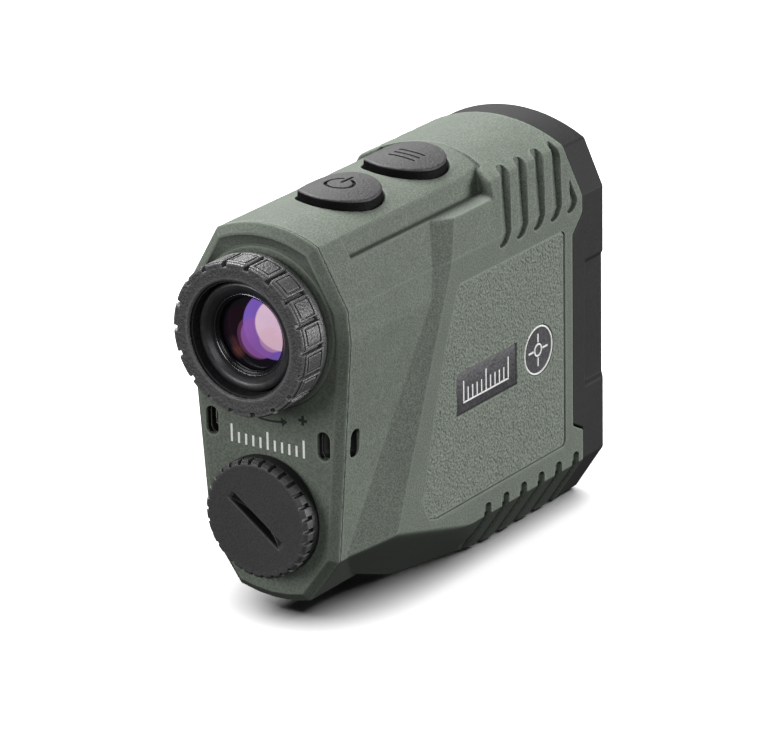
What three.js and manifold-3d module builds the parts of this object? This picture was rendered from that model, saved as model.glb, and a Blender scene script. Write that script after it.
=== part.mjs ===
// Handheld laser rangefinder: a single-eyepiece, green rubber-armoured housing with a black objective
// bezel, two top keys, a turning dioptre ring, a coin-slot battery cap and its internal optics.
//
// Working frame while drawing: millimetres, Y along the optical axis with the flat rear face at y = 0 and
// the objective towards +Y, X across the body, Z up from an arbitrary level near the underside.
// The last group moves everything so that the origin is the middle of the box's underside.
import * as THREE from 'three';
import { mergeVertices } from 'three/addons/utils/BufferGeometryUtils.js';
import Module from 'manifold-3d';

const wasm = await Module();
wasm.setup();

// ---------------------------------------------------------------- driving dimensions (mm)
const FRAME_Y = 39.8;            // middle of the overall length
const FRAME_Z = 3.6;             // underside level

const REAR_SKIN = 1.6;           // rear cover edge thickness
const COVER_PLUG = 3.2;          // rear cover spigot depth
const SHELL_Y0 = 1.9;            // armour shell starts
const SHELL_Y1 = 79.4;           // armour shell ends
const BEZEL_Y0 = 79.7;           // objective bezel starts
const BEZEL_Y1 = 88.2;           // objective bezel front
const PAD_R = 26.7, PAD_TOP = 76.1, PAD_HALF = 11.5;     // arched key pad and rear section roof
const GRIP_R = 32.2, GRIP_TOP = 76.3, GRIP_HALF = 15.4;  // arched grip section roof
const GRIP_X = 20.0;             // grip half width
const PAD_END = 57.0;            // key pad ends, full grip roof starts
const SHELF_Z = 69.4;            // finger shelf beside the key pad
const SHELF_Y0 = 9.0, SHELF_Y1 = 54.5;

const EYE_Z = 56.0;              // optical axis height
const EYE_RIM_Y = -8.6, EYE_BACK_Y = -0.8;
const EYE_R = 15.35, EYE_PAD = 0.75;                     // grip ring radius over pads, pad height
const EYE_PADS = 18;
const EYE_MOUTH_R = 10.9;

const CAP_Z = 18.4, CAP_R = 12.0, CAP_FACE_R = 11.2;
const CAP_FACE_Y = -4.6, CAP_BACK_Y = -0.3;
const CAP_TEETH = 30;

const KEY_RISE = 1.65, KEY_GAP = 0.32;
// key outline about its own centre: full on the right, drawn in on the left
const KEY_OUT = [[-4.73, -5.98], [-2.49, -7.48], [-0.6, -8.3], [1.2, -8.59], [2.8, -8.4], [4.5, -7.72], [6, -6.47], [7.2, -4.92], [8.15, -3.18],
  [8.65, -1.35], [8.7, 0.9], [8.4, 3.1], [7.6, 5], [6.4, 6.5], [4.8, 7.6], [2.9, 8.3], [0.8, 8.5], [-1.12, 8.15],
  [-2.75, 7.3], [-4.21, 5.9], [-5.16, 4], [-5.63, 1.8], [-5.72, -0.58], [-5.59, -3.09], [-5.25, -5.02]];
const KEY_Y = [23.7, 45.6];
const KEY_FLOOR = 72.6, KEY_BASE = 73.7;

const SLOT_X = 13.0, SLOT_Z = 34.55, SLOT_W = 2.9, SLOT_H = 5.7;

const PANEL_Y0 = 23.0, PANEL_Y1 = 73.0, PANEL_Z0 = 12.1, PANEL_Z1 = 57.4, PANEL_DEEP = 0.45;
const PLATE = { y0: 34.8, y1: 56.0, z0: 30.5, z1: 39.2 };
const BADGE = { y: 63.9, z: 35.1, r: 5.25 };

const GROOVE_PITCH = 6.0, GROOVE_W = 2.9, GROOVE_DEEP = 1.0, GROOVE_STOP = 77.5;
const LOW_GROOVE_PITCH = 6.36, LOW_GROOVE_W = 2.2;

const OBJ_R = 10.5, RECEIVER_Z = 20.0, RECEIVER_R = 9.0, EMITTER_Z = 38.6, EMITTER_R = 3.6;

// ---------------------------------------------------------------- materials
const mat = (color, roughness, metalness = 0, extra = {}) =>
  new THREE.MeshStandardMaterial({ color, roughness, metalness, ...extra });
const M = {
  armour: mat('#66745f', 0.82),
  bezel: mat('#262626', 0.7),
  blackRubber: mat('#1f2022', 0.86),
  blackPlastic: mat('#1b1c1e', 0.45),
  cap: mat('#2a2b2c', 0.6),
  key: mat('#3d3a3d', 0.8),
  glass: mat('#5a4a86', 0.05, 0, { transparent: true, opacity: 0.5 }),
  darkMetal: mat('#1a1a1c', 0.35, 0.8),
  steel: mat('#b9bcc0', 0.3, 1),
  brass: mat('#b08d45', 0.35, 1),
  board: mat('#1d4a31', 0.55),
  switchGrey: mat('#33363a', 0.5, 0.2),
  plate: mat('#3c3b40', 0.55, 0.2),
  badge: mat('#b9bbba', 0.4, 0.3),
  cell: mat('#7c7f86', 0.35, 0.6),
  seal: mat('#111111', 0.7),
};

// ---------------------------------------------------------------- geometry helpers
const V2 = (x, y) => new THREE.Vector2(x, y);

function tidy(geometry, tol = 1e-4) {
  let g = geometry.index ? geometry.toNonIndexed() : geometry.clone();
  g.deleteAttribute('normal');
  g.deleteAttribute('uv');
  g = mergeVertices(g, tol);
  const idx = g.index.array, p = g.attributes.position, keep = [];
  let vol = 0;
  const a = new THREE.Vector3(), b = new THREE.Vector3(), c = new THREE.Vector3();
  for (let i = 0; i < idx.length; i += 3) {
    const [u, v, w] = [idx[i], idx[i + 1], idx[i + 2]];
    if (u === v || v === w || w === u) continue;
    keep.push(u, v, w);
    a.fromBufferAttribute(p, u); b.fromBufferAttribute(p, v); c.fromBufferAttribute(p, w);
    vol += a.dot(b.cross(c));
  }
  if (vol < 0) for (let i = 0; i < keep.length; i += 3) [keep[i], keep[i + 1]] = [keep[i + 1], keep[i]];
  g.setIndex(keep);
  return g;
}

function solid(geometry) {
  const g = tidy(geometry);
  return new wasm.Manifold(new wasm.Mesh({
    numProp: 3,
    vertProperties: new Float32Array(g.attributes.position.array),
    triVerts: new Uint32Array(g.index.array),
  }));
}

function shape(man) {
  const m = man.getMesh();
  const g = new THREE.BufferGeometry();
  const n = m.numProp, count = m.vertProperties.length / n, pos = new Float32Array(count * 3);
  for (let i = 0; i < count; i++) for (let k = 0; k < 3; k++) pos[3 * i + k] = m.vertProperties[i * n + k];
  g.setAttribute('position', new THREE.BufferAttribute(pos, 3));
  g.setIndex(Array.from(m.triVerts));
  return tidy(g, 1e-3);
}

const outline = (pts, holes = []) => {
  const s = new THREE.Shape(pts.map(([x, y]) => V2(x, y)));
  for (const h of holes) s.holes.push(new THREE.Path(h.map(([x, y]) => V2(x, y))));
  return s;
};
// section drawn in X and Z, swept from y0 to y1
function prismY(pts, y0, y1, holes = []) {
  return new THREE.ExtrudeGeometry(outline(pts, holes), { depth: y1 - y0, bevelEnabled: false })
    .rotateX(Math.PI / 2).translate(0, y1, 0);
}
// section drawn in Y and Z, swept from x0 to x1
function prismX(pts, x0, x1, holes = []) {
  const g = new THREE.ExtrudeGeometry(outline(pts, holes), { depth: x1 - x0, bevelEnabled: false });
  g.applyMatrix4(new THREE.Matrix4().makeBasis(
    new THREE.Vector3(0, 1, 0), new THREE.Vector3(0, 0, 1), new THREE.Vector3(1, 0, 0)));
  return g.translate(x0, 0, 0);
}
// section drawn in X and Y, swept from z0 to z1
function prismZ(pts, z0, z1, holes = []) {
  return new THREE.ExtrudeGeometry(outline(pts, holes), { depth: z1 - z0, bevelEnabled: false }).translate(0, 0, z0);
}
// closed profile of [radius, y] turned about a line parallel to Y
function turned(profile, segments, x = 0, z = 0) {
  const pts = profile.map(([r, y]) => V2(r, y));
  if (profile.some(([r]) => r > 0) && !(profile[0][0] === 0 && profile[profile.length - 1][0] === 0))
    pts.push(pts[0].clone());
  return new THREE.LatheGeometry(pts, segments).translate(x, 0, z);
}
const turnedZ = (profile, segments, x, y) =>
  turned(profile, segments).rotateX(Math.PI / 2).translate(x, y, 0);
const box = (x0, x1, y0, y1, z0, z1) =>
  new THREE.BoxGeometry(x1 - x0, y1 - y0, z1 - z0).translate((x0 + x1) / 2, (y0 + y1) / 2, (z0 + z1) / 2);
const discY = (r, y0, y1, x, z, n = 32) => turned([[0, y0], [r, y0], [r, y1], [0, y1]], n, x, z);
const discZ = (r, z0, z1, x, y, n = 32) =>
  new THREE.CylinderGeometry(r, r, z1 - z0, n).rotateX(Math.PI / 2).translate(x, y, (z0 + z1) / 2);
const circle = (r, n, cx = 0, cy = 0, turn = 0) =>
  Array.from({ length: n }, (_, i) => [cx + r * Math.cos(turn + 2 * Math.PI * i / n), cy + r * Math.sin(turn + 2 * Math.PI * i / n)]);
const arch = (R, top, half, n) =>
  Array.from({ length: n + 1 }, (_, i) => {
    const x = half - 2 * half * i / n;
    return [x, top - R + Math.sqrt(R * R - x * x)];
  });
const mirror = pts => pts.map(([x, z]) => [-x, z]).reverse();
const mirrored = geometry => {
  const g = tidy(geometry).clone();
  g.applyMatrix4(new THREE.Matrix4().makeScale(-1, 1, 1));
  return tidy(g);
};
// half space kept as a big block: everything on the side the normal points to
function beyond(point, normal, size = 400) {
  const g = new THREE.BoxGeometry(size, size, size).translate(0, 0, size / 2);
  const q = new THREE.Quaternion().setFromUnitVectors(new THREE.Vector3(0, 0, 1), new THREE.Vector3(...normal).normalize());
  return g.applyQuaternion(q).translate(...point);
}
const stadium = (w, h, n = 4) => {
  const r = w / 2, pts = [];
  for (let i = 0; i <= n; i++) pts.push([r * Math.cos(Math.PI * i / n), h / 2 - r + r * Math.sin(Math.PI * i / n)]);
  for (let i = 0; i <= n; i++) pts.push([-r * Math.cos(Math.PI * i / n), -(h / 2 - r) - r * Math.sin(Math.PI * i / n)]);
  return pts;
};
const shift = (pts, dx, dy) => pts.map(([x, y]) => [x + dx, y + dy]);
// an outline grown outward by g and moved along Y
const grown = (pts, g, dy) => pts.map(([x, y]) => { const r = Math.hypot(x, y); return [x * (1 + g / r), y * (1 + g / r) + dy]; });

// ---------------------------------------------------------------- sections (X, Z)
const rearLower = [[-18.0, 62.2], [-18.6, 56.0], [-15.1, 11.0], [-8.2, 1.6], [-4.0, 0.7], [0, 0.4], [4.0, 0.7], [8.2, 1.6], [15.1, 11.0], [18.6, 56.0], [18.0, 62.2]];
const rearSection = [...arch(PAD_R, PAD_TOP, PAD_HALF, 8), ...rearLower];
const gripSection = [...arch(GRIP_R, GRIP_TOP, GRIP_HALF, 8), [-20.0, 62.8], [-20.0, 6.9], [-13.4, -3.0], [-8.5, -3.6], [8.5, -3.6], [13.4, -3.0], [20.0, 6.9], [20.0, 62.8]];
const bezelSection = [...arch(GRIP_R, 75.9, 15.3, 8), [-19.8, 62.6], [-19.8, 7.0], [-13.3, -2.9], [-8.4, -3.5], [8.4, -3.5], [13.3, -2.9], [19.8, 7.0], [19.8, 62.6]];
const cavity = [[9.6, 70.4], [-9.6, 70.4], [-15.6, 61.0], [-16.0, 56.0], [-13.2, 13.0], [-7.2, 4.4], [7.2, 4.4], [13.2, 13.0], [16.0, 56.0], [15.6, 61.0]];
const plug = cavity.map(([x, z]) => [x * 0.97, 37.4 + (z - 37.4) * 0.985]);

// ---------------------------------------------------------------- armour shell
const bandCuts = [
  [[17.9, 29.6, 62.6], [0.868, -0.461, 0.185]],     // oblique band on the side
  [[20.0, 33.5, 62.8], [0.613, -0.431, 0.661]],     // its top, over the upper edge
  [[20.0, 17.0, 12.1], [0.755, -0.178, -0.641]],    // lower edge, sinking towards the front
  [[15.56, 4.59, 11.26], [0.671, -0.192, -0.716]],  // chin
];
const keelPoint = [0, 19.5, 0.6], keelNormal = [0, -0.37, -0.93];
const flip = ([x, y, z]) => [-x, y, z];

let rear = solid(prismY(rearSection, SHELL_Y0, PAD_END));
let grip = solid(prismY(gripSection, 4.0, SHELL_Y1));
for (const [p, n] of bandCuts)
  for (const s of [v => v, flip]) grip = grip.subtract(solid(beyond(s(p), s(n))));
grip = grip.subtract(solid(beyond(keelPoint, keelNormal)));
let shell = rear.add(grip);
// roof over the key pad follows the rear section
const roofCut = [...arch(PAD_R, PAD_TOP, PAD_HALF + 0.02, 8).reverse(), [PAD_HALF + 0.02, 82], [-PAD_HALF - 0.02, 82]];
shell = shell.subtract(solid(prismY(roofCut, 0, PAD_END)));
// finger shelves either side of the key pad, with slanted ends
const shelf = solid(prismY([[PAD_HALF, 73.55], [12.2, SHELF_Z], [26, SHELF_Z], [26, 84], [PAD_HALF, 84]], SHELF_Y0, 60))
  .subtract(solid(beyond([12.2, SHELF_Y1, 70], [0.42, 0.9, 0])));
shell = shell.subtract(shelf).subtract(solid(mirrored(shape(shelf))));
// inner space, open at both ends
let hollow = solid(prismY(cavity, -2, SHELL_Y1 + 2));
// solid corner blocks left in the walls around the lanyard slots
for (const s of [1, -1]) {
  const block = prismX([[1, 29.2], [10.2, 29.2], [10.2, 39.9], [1, 39.9]], 10.6, 19);
  hollow = hollow.subtract(solid(s > 0 ? block : mirrored(block)));
}
shell = shell.subtract(hollow);
// key wells and stem holes
for (const y of KEY_Y) {
  shell = shell.subtract(solid(prismZ(grown(KEY_OUT, KEY_GAP, y), KEY_FLOOR, 84)));
  shell = shell.subtract(solid(discZ(2.9, 66, KEY_FLOOR + 1, 0, y, 12)));
}
// lanyard passages: in through the rear face, out through the side, leaving a corner bar
const rearLeg = solid(prismY(shift(stadium(SLOT_W, SLOT_H), SLOT_X, SLOT_Z), -2, 6.3));
const sideLeg = solid(prismX(shift(stadium(3.1, SLOT_H), 4.75, SLOT_Z), SLOT_X - 1.4, 24));
const passage = rearLeg.add(sideLeg);
const passageL = solid(mirrored(shape(passage)));
shell = shell.subtract(passage).subtract(passageL);
// textured side panels, sunk a little below their smooth frame
const panelOutline = [[35.7, PANEL_Z1], [30.8, 45.6], [26.8, 32.6], [24.2, 23.2], [23.0, 17.6], [23.2, 15.0], [24.6, 12.9], [27.2, PANEL_Z0], [PANEL_Y1 - 0.8, PANEL_Z0], [PANEL_Y1, PANEL_Z0 + 0.8], [PANEL_Y1, PANEL_Z1 - 0.8], [PANEL_Y1 - 0.8, PANEL_Z1]];
const panelCut = prismX(panelOutline, GRIP_X - PANEL_DEEP, 24);
shell = shell.subtract(solid(panelCut)).subtract(solid(mirrored(panelCut)));
// seats for the plate and the badge
const seats = solid(prismX([[PLATE.y0 - 0.15, PLATE.z0 - 0.15], [PLATE.y1 + 0.15, PLATE.z0 - 0.15], [PLATE.y1 + 0.15, PLATE.z1 + 0.15], [PLATE.y0 - 0.15, PLATE.z1 + 0.15]], 18.4, 24))
  .add(solid(prismX(circle(BADGE.r + 0.15, 24, BADGE.y, BADGE.z), 18.4, 24)));
shell = shell.subtract(seats).subtract(solid(mirrored(shape(seats))));
// slanted finger grooves over the upper edge
const along = (z) => 0.672 * (z - 60.4);
for (let i = 0; i < 5; i++) {
  const y0 = 49.5 + GROOVE_PITCH * i, y1 = y0 + GROOVE_W, zt = 73.4, zb = 60.4;
  const cutter = solid(prismX([[y0 + 0.6, zb], [y1 - 0.6, zb], [y1, zb + 0.8], [y1 + along(zt - 0.6), zt - 0.6], [y1 + along(zt) - 0.7, zt], [y0 + along(zt) + 0.5, zt], [y0 + along(zt - 0.8), zt - 0.8], [y0, zb + 0.8]], 10, 26));
  const depth = solid(prismY([[GRIP_HALF - GROOVE_DEEP - 1.4, 73.6], [GRIP_X - GROOVE_DEEP, 62.4], [GRIP_X - GROOVE_DEEP, 56], [30, 56], [30, 84], [GRIP_HALF - GROOVE_DEEP - 1.4, 84]], 40, GROOVE_STOP));
  const g = cutter.intersect(depth);
  shell = shell.subtract(g).subtract(solid(mirrored(shape(g))));
}
// short grooves over the lower edge
for (let i = 0; i < 6; i++) {
  const yc = 44.9 + LOW_GROOVE_PITCH * i, h = LOW_GROOVE_W / 2;
  const g = solid(prismY([[GRIP_X - 0.9, 9.3], [GRIP_X - 0.9, 7.1], [13.2, -1.6], [13.2, -8], [28, -8], [28, 9.3]], yc - h, Math.min(yc + h, SHELL_Y1 + 1)));
  shell = shell.subtract(g).subtract(solid(mirrored(shape(g))));
}
// notches that take the bezel's side tongues
const tonguePts = (g) => [[79.9, 59.6 + g], [76.0 - g, 55.4 + g], [76.0 - g, 15.4 - g], [79.9, 13.2 - g]];
const notch = prismX(tonguePts(0.15), 17.6, 24);
shell = shell.subtract(solid(notch)).subtract(solid(mirrored(notch)));
// blind holes for the bezel screws
const SCREWS = [[13.2, 68.4], [-13.2, 68.4], [16.6, 10.6], [-16.6, 10.6]];
for (const [x, z] of SCREWS) shell = shell.subtract(solid(discY(1.15, 70, SHELL_Y1 + 1, x, z, 8)));

// ---------------------------------------------------------------- rear cover
let cover = solid(new THREE.ExtrudeGeometry(outline(rearSection), {
  depth: 3.0, bevelEnabled: true, bevelThickness: REAR_SKIN - 0.2, bevelSize: 1.55, bevelOffset: -1.55, bevelSegments: 1,
}).rotateX(Math.PI / 2).translate(0, 3.0 + REAR_SKIN - 0.2, 0));
cover = cover.subtract(solid(box(-40, 40, REAR_SKIN, 20, -20, 100)));
cover = cover.add(solid(prismY(plug, REAR_SKIN - 0.4, COVER_PLUG)));
cover = cover.subtract(solid(discY(12.4, -3, 8, 0, EYE_Z, 32)));
cover = cover.subtract(solid(discY(9.75, -3, 8, 0, CAP_Z, 28)));
cover = cover.subtract(solid(discY(10.5, -3, 1.2, 0, CAP_Z, 28)));
cover = cover.subtract(passage).subtract(passageL);
// the spigot clears the lanyard blocks
for (const s of [1, -1]) {
  const b = box(10.2, 20, REAR_SKIN, 8, 28.8, 40.3);
  cover = cover.subtract(solid(s > 0 ? b : mirrored(b)));
}
// dioptre index: a small plus sign and a short arc with an arrowhead, cut into the face
const plus = [[-0.95, -0.2], [-0.2, -0.2], [-0.2, -0.95], [0.2, -0.95], [0.2, -0.2], [0.95, -0.2], [0.95, 0.2], [0.2, 0.2], [0.2, 0.95], [-0.2, 0.95], [-0.2, 0.2], [-0.95, 0.2]];
cover = cover.subtract(solid(prismY(shift(plus, 8.3, 38.9), -1, 0.25)));
const arcPts = [];
for (let i = 0; i <= 8; i++) { const a = (-6 + 17 * i / 8) * Math.PI / 180; arcPts.push([18.85 * Math.sin(a), EYE_Z - 18.85 * Math.cos(a)]); }
for (let i = 8; i >= 0; i--) { const a = (-6 + 17 * i / 8) * Math.PI / 180; arcPts.push([18.5 * Math.sin(a), EYE_Z - 18.5 * Math.cos(a)]); }
cover = cover.subtract(solid(prismY(arcPts, -1, 0.25)));
const head = (r, deg) => [r * Math.sin(deg * Math.PI / 180), EYE_Z - r * Math.cos(deg * Math.PI / 180)];
cover = cover.subtract(solid(prismY([head(19.6, 10.4), head(18.68, 15), head(17.8, 10.4)], -1, 0.25)));

// ---------------------------------------------------------------- objective bezel
let bezel = solid(prismY(bezelSection, BEZEL_Y0, BEZEL_Y1 - 0.8));
bezel = bezel.add(solid(new THREE.ExtrudeGeometry(outline(bezelSection), {
  depth: 2.0, bevelEnabled: true, bevelThickness: 0.8, bevelSize: 0.8, bevelOffset: -0.8, bevelSegments: 1,
}).rotateX(Math.PI / 2).translate(0, BEZEL_Y1 - 0.8, 0)));
bezel = bezel.subtract(solid(prismY([[9.6, 70.4], [-9.6, 70.4], [-16.6, 61.0], [-17.0, 56.0], [-17.0, 16.0], [-8.0, 4.4], [8.0, 4.4], [17.0, 16.0], [17.0, 56.0], [16.6, 61.0]], BEZEL_Y0 - 1, 84.6)));
const tongue = solid(prismX(tonguePts(-0.15), 17.9, 19.8)).subtract(solid(box(0, 30, 79.85, 90, 0, 80)));
bezel = bezel.add(tongue).add(solid(mirrored(shape(tongue))));
// shallow side recesses, open to the front
for (const s of [1, -1]) bezel = bezel.subtract(solid(box(s > 0 ? 18.95 : -22, s > 0 ? 22 : -18.95, 80.6, 92, 22.9, 48.1)));
const lensHole = (z, r, seat) => {
  bezel = bezel.subtract(solid(turned([[0, 80], [r + 0.2, 80], [r + 0.2, 87.4], [r + seat, 90], [0, 90]], 32, 0, z)));
};
lensHole(EYE_Z, 11.6, 1.6);
lensHole(RECEIVER_Z, 10.0, 1.4);
lensHole(EMITTER_Z, 4.6, 0.9);
for (const [x, z] of SCREWS) bezel = bezel
  .subtract(solid(discY(1.25, BEZEL_Y0 - 1, BEZEL_Y1 + 1, x, z, 8)))
  .subtract(solid(discY(2.15, 86.0, BEZEL_Y1 + 1, x, z, 12)));

// ---------------------------------------------------------------- dioptre ring
const gripRing = [];
for (let i = 0; i < EYE_PADS; i++) {
  const a = 2 * Math.PI * i / EYE_PADS, w = Math.PI / EYE_PADS;
  for (const [t, r] of [[-0.68, EYE_R - EYE_PAD], [-0.58, EYE_R], [0.58, EYE_R], [0.68, EYE_R - EYE_PAD]])
    gripRing.push([r * Math.cos(a + t * w), r * Math.sin(a + t * w)]);
}
let dioptreGrip = solid(prismY(shift(gripRing, 0, EYE_Z), EYE_RIM_Y + 1.0, EYE_BACK_Y - 0.9))
  .add(solid(turned([[0, EYE_RIM_Y], [13.2, EYE_RIM_Y], [14.4, EYE_RIM_Y + 0.7], [14.4, EYE_BACK_Y - 1.2], [15.1, EYE_BACK_Y - 1.1], [15.1, EYE_BACK_Y], [0, EYE_BACK_Y]], 36, 0, EYE_Z)))
  .subtract(solid(turned([[0, -12], [EYE_MOUTH_R + 0.5, -12], [EYE_MOUTH_R + 0.5, EYE_RIM_Y], [EYE_MOUTH_R, EYE_RIM_Y + 0.5], [EYE_MOUTH_R, -7.9], [12.2, -7.9], [12.2, 2], [0, 2]], 36, 0, EYE_Z)));
const dioptreSleeve = turned([[11.2, -7.6], [11.9, -7.6], [11.9, 3.6], [13.0, 3.8], [13.0, 4.6], [11.2, 4.6]], 28, 0, EYE_Z);

// ---------------------------------------------------------------- sliding ocular cell
const ocularCell = turned([[9.0, -5.6], [9.8, -6.2], [10.8, -5.9], [10.8, 11.6], [9.4, 11.6], [9.4, 6.1], [8.2, 6.0], [8.2, 0.1], [9.0, 0.0]], 28, 0, EYE_Z);
const eyeLens = turned([[0, -4.4], [4.2, -4.15], [8.0, -3.35], [8.7, -3.1], [8.7, -0.3], [0, -0.3]], 28, 0, EYE_Z);
const eyeLensRing = turned([[7.7, -5.2], [8.7, -5.2], [8.7, -3.5], [7.7, -3.75]], 28, 0, EYE_Z);
const fieldLens = turned([[0, 6.4], [9.1, 6.8], [9.1, 8.6], [0, 9.4]], 24, 0, EYE_Z);
const fieldLensRing = turned([[7.6, 9.7], [9.1, 9.7], [9.1, 11.2], [7.6, 11.2]], 24, 0, EYE_Z);

// ---------------------------------------------------------------- optics inside
let bench = solid(prismY([[-12.6, 43.4], [12.6, 43.4], [12.6, 62.6], [11.4, 62.6], [11.4, 44.6], [-11.4, 44.6], [-11.4, 62.6], [-12.6, 62.6]], 13.4, 78.6))
  .add(solid(box(-11.6, 11.6, 13.4, 15.2, 43.8, 64.2)))
  .add(solid(box(-11.6, 11.6, 64.0, 66.0, 43.8, 64.2)));
bench = bench.subtract(solid(discY(8.6, 12, 17, 0, EYE_Z, 20))).subtract(solid(discY(8.0, 60, 70, 0, EYE_Z, 20)));
const reticle = box(-8.2, 8.2, 20.4, 22.0, 48.6, 63.2);
const prismA = prismX([[30, 48.6], [42.4, 48.6], [46.2, 55.8], [42.4, 63.2], [34.0, 63.2]], -7.2, 7.2);
const prismB = prismX([[43.0, 48.6], [56.0, 48.6], [58.6, 52.0], [54.6, 63.2], [43.6, 63.2], [47.2, 55.9]], -7.2, 7.2);
const objectiveTube = turned([[8.4, 66.4], [9.2, 66.4], [11.2, 71.0], [11.2, 85.6], [10.4, 85.6], [10.4, 82.0], [9.4, 81.6], [9.4, 71.6]], 24, 0, EYE_Z);
const objectiveLens = turned([[0, 82.6], [5, 82.5], [10.1, 82.3], [10.1, 83.6], [6.5, 84.3], [0, 84.85]], 28, 0, EYE_Z);
const objectiveRing = turned([[9.3, 85.9], [11.5, 85.9], [11.5, 87.2], [9.9, 87.2]], 28, 0, EYE_Z);
const receiverCone = turned([[3.4, 52.0], [4.6, 52.0], [10.0, 79.0], [10.0, 84.4], [9.0, 84.4], [9.0, 79.4]], 24, 0, RECEIVER_Z);
const receiverLens = turned([[0, 80.4], [8.6, 81.4], [8.6, 83.0], [5.2, 84.2], [0, 84.7]], 24, 0, RECEIVER_Z);
const receiverRing = turned([[8.3, 85.0], [9.9, 85.0], [9.9, 86.8], [8.7, 86.8]], 24, 0, RECEIVER_Z);
const emitterTube = turned([[2.6, 62.0], [4.2, 62.0], [4.2, 85.4], [3.7, 85.4], [3.7, 82.0], [2.6, 81.0]], 16, 0, EMITTER_Z);
const emitterLens = turned([[0, 82.4], [3.4, 82.4], [3.4, 83.6], [1.8, 84.4], [0, 84.6]], 16, 0, EMITTER_Z);
const laserDiode = turned([[0, 56.0], [1.2, 56.0], [1.2, 59.8], [2.8, 59.8], [2.8, 61.6], [0, 61.6]], 12, 0, EMITTER_Z);
const receiverBoard = box(-9.5, 9.5, 49.0, 50.4, 10.5, 29.5);
const detector = turned([[0, 50.7], [2.6, 50.7], [2.6, 53.4], [0, 53.4]], 12, 0, RECEIVER_Z);
const mainBoard = box(-12.7, -11.5, 40.0, 74.0, 15.0, 42.4);
const switchBoard = box(-8.2, 8.2, 15.4, 55.6, 65.0, 66.1);

// ---------------------------------------------------------------- keys and their switches
const keys = [], switches = [], plungers = [];
for (const y of KEY_Y) {
  const capProfile = arch(PAD_R + KEY_RISE, PAD_TOP + KEY_RISE, 10, 8);
  const crown = solid(prismY([...capProfile, [-10, KEY_BASE], [10, KEY_BASE]], y - 12, y + 12))
    .intersect(solid(prismZ(grown(KEY_OUT, 0, y), KEY_BASE, 84)));
  keys.push(shape(crown.add(solid(discZ(2.3, 70.9, KEY_BASE + 0.6, 0, y, 12)))));
  switches.push(shape(solid(box(-3.1, 3.1, y - 3.1, y + 3.1, 66.4, 69.6)).subtract(solid(discZ(2.0, 67.4, 72, 0, y, 12)))));
  plungers.push(discZ(1.7, 68.4, 70.6, 0, y, 12));
}

// ---------------------------------------------------------------- battery, cap and contacts
const capOutline = [];
for (let i = 0; i < CAP_TEETH; i++) {
  const a = 2 * Math.PI * i / CAP_TEETH, w = Math.PI / CAP_TEETH;
  for (const [t, r] of [[-0.5, CAP_R], [0.5, CAP_R], [1, CAP_R - 0.7]])
    capOutline.push([r * Math.cos(a + t * w), r * Math.sin(a + t * w)]);
}
let cap = solid(prismY(shift(capOutline, 0, CAP_Z), CAP_FACE_Y + 1.0, CAP_BACK_Y))
  .add(solid(turned([[0, CAP_FACE_Y], [CAP_FACE_R - 0.35, CAP_FACE_Y], [CAP_FACE_R, CAP_FACE_Y + 0.35], [CAP_FACE_R, CAP_FACE_Y + 1.2], [0, CAP_FACE_Y + 1.2]], 36, 0, CAP_Z)))
  .add(solid(turned([[0, -1], [9.0, -1], [9.0, 1.5], [9.45, 1.7], [9.45, 4.6], [0, 4.6]], 28, 0, CAP_Z)));
const slotDir = Math.atan2(-7.9, 11.0);
const slotBox = new THREE.BoxGeometry(14.6, 2.0, 1.5).rotateY(-slotDir).translate(0, CAP_FACE_Y + 0.5, CAP_Z);
cap = cap.subtract(solid(slotBox)).subtract(solid(discY(8.0, 0.2, 8, 0, CAP_Z, 24)));
const capRing = turned([[9.3, -0.05], [10.2, -0.05], [10.2, 0.8], [9.3, 0.8]], 28, 0, CAP_Z);
const capContact = turned([[0, 2.0], [6.9, 2.0], [6.9, 2.6], [0, 2.6]], 20, 0, CAP_Z);
class Coil extends THREE.Curve {
  getPoint(t, target = new THREE.Vector3()) {
    const a = 2 * Math.PI * 2.5 * t, r = 5.6 - 3.2 * t;
    return target.set(r * Math.cos(a), 3.3 + 2.9 * t, CAP_Z + r * Math.sin(a));
  }
}
const coil = new THREE.ExtrudeGeometry(outline(circle(0.3, 5)), { steps: 30, extrudePath: new Coil(), bevelEnabled: false });
const batteryTube = turned([[8.1, 5.2], [9.2, 5.2], [9.2, 37.6], [8.1, 37.6]], 24, 0, CAP_Z);
const batteryCell = turned([[0, 6.9], [7.75, 6.9], [7.75, 33.2], [3.2, 33.2], [3.2, 33.9], [0, 33.9]], 24, 0, CAP_Z);
const batteryContact = turned([[0, 34.2], [7.6, 34.2], [7.6, 34.9], [0, 34.9]], 20, 0, CAP_Z);

// ---------------------------------------------------------------- side plates and badges
const platePrism = prismX([[PLATE.y0 + 0.15, PLATE.z0 + 0.15], [PLATE.y1 - 0.15, PLATE.z0 + 0.15], [PLATE.y1 - 0.15, PLATE.z1 - 0.15], [PLATE.y0 + 0.15, PLATE.z1 - 0.15]], 18.7, 19.5);
const badgePrism = prismX(circle(BADGE.r - 0.15, 24, BADGE.y, BADGE.z), 18.7, 19.6);

const screwAt = (x, z) => turned([[0, 72.6], [0.95, 72.6], [0.95, 86.3], [1.85, 86.3], [1.85, 87.5], [0.6, 87.5], [0, 86.9]], 8, x, z);

// ---------------------------------------------------------------- scene graph
const object = new THREE.Group();
object.name = 'laser_rangefinder';
const frame = new THREE.Group();
frame.position.set(0, -FRAME_Y, FRAME_Z);
object.add(frame);
function put(name, geometry, material, parent = frame) {
  const g = tidy(geometry);
  g.computeVertexNormals();
  const mesh = new THREE.Mesh(g, material);
  mesh.name = name;
  parent.add(mesh);
  return mesh;
}
const housing = new THREE.Group(), optics = new THREE.Group(), controls = new THREE.Group(), power = new THREE.Group();
frame.add(housing, optics, controls, power);

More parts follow.
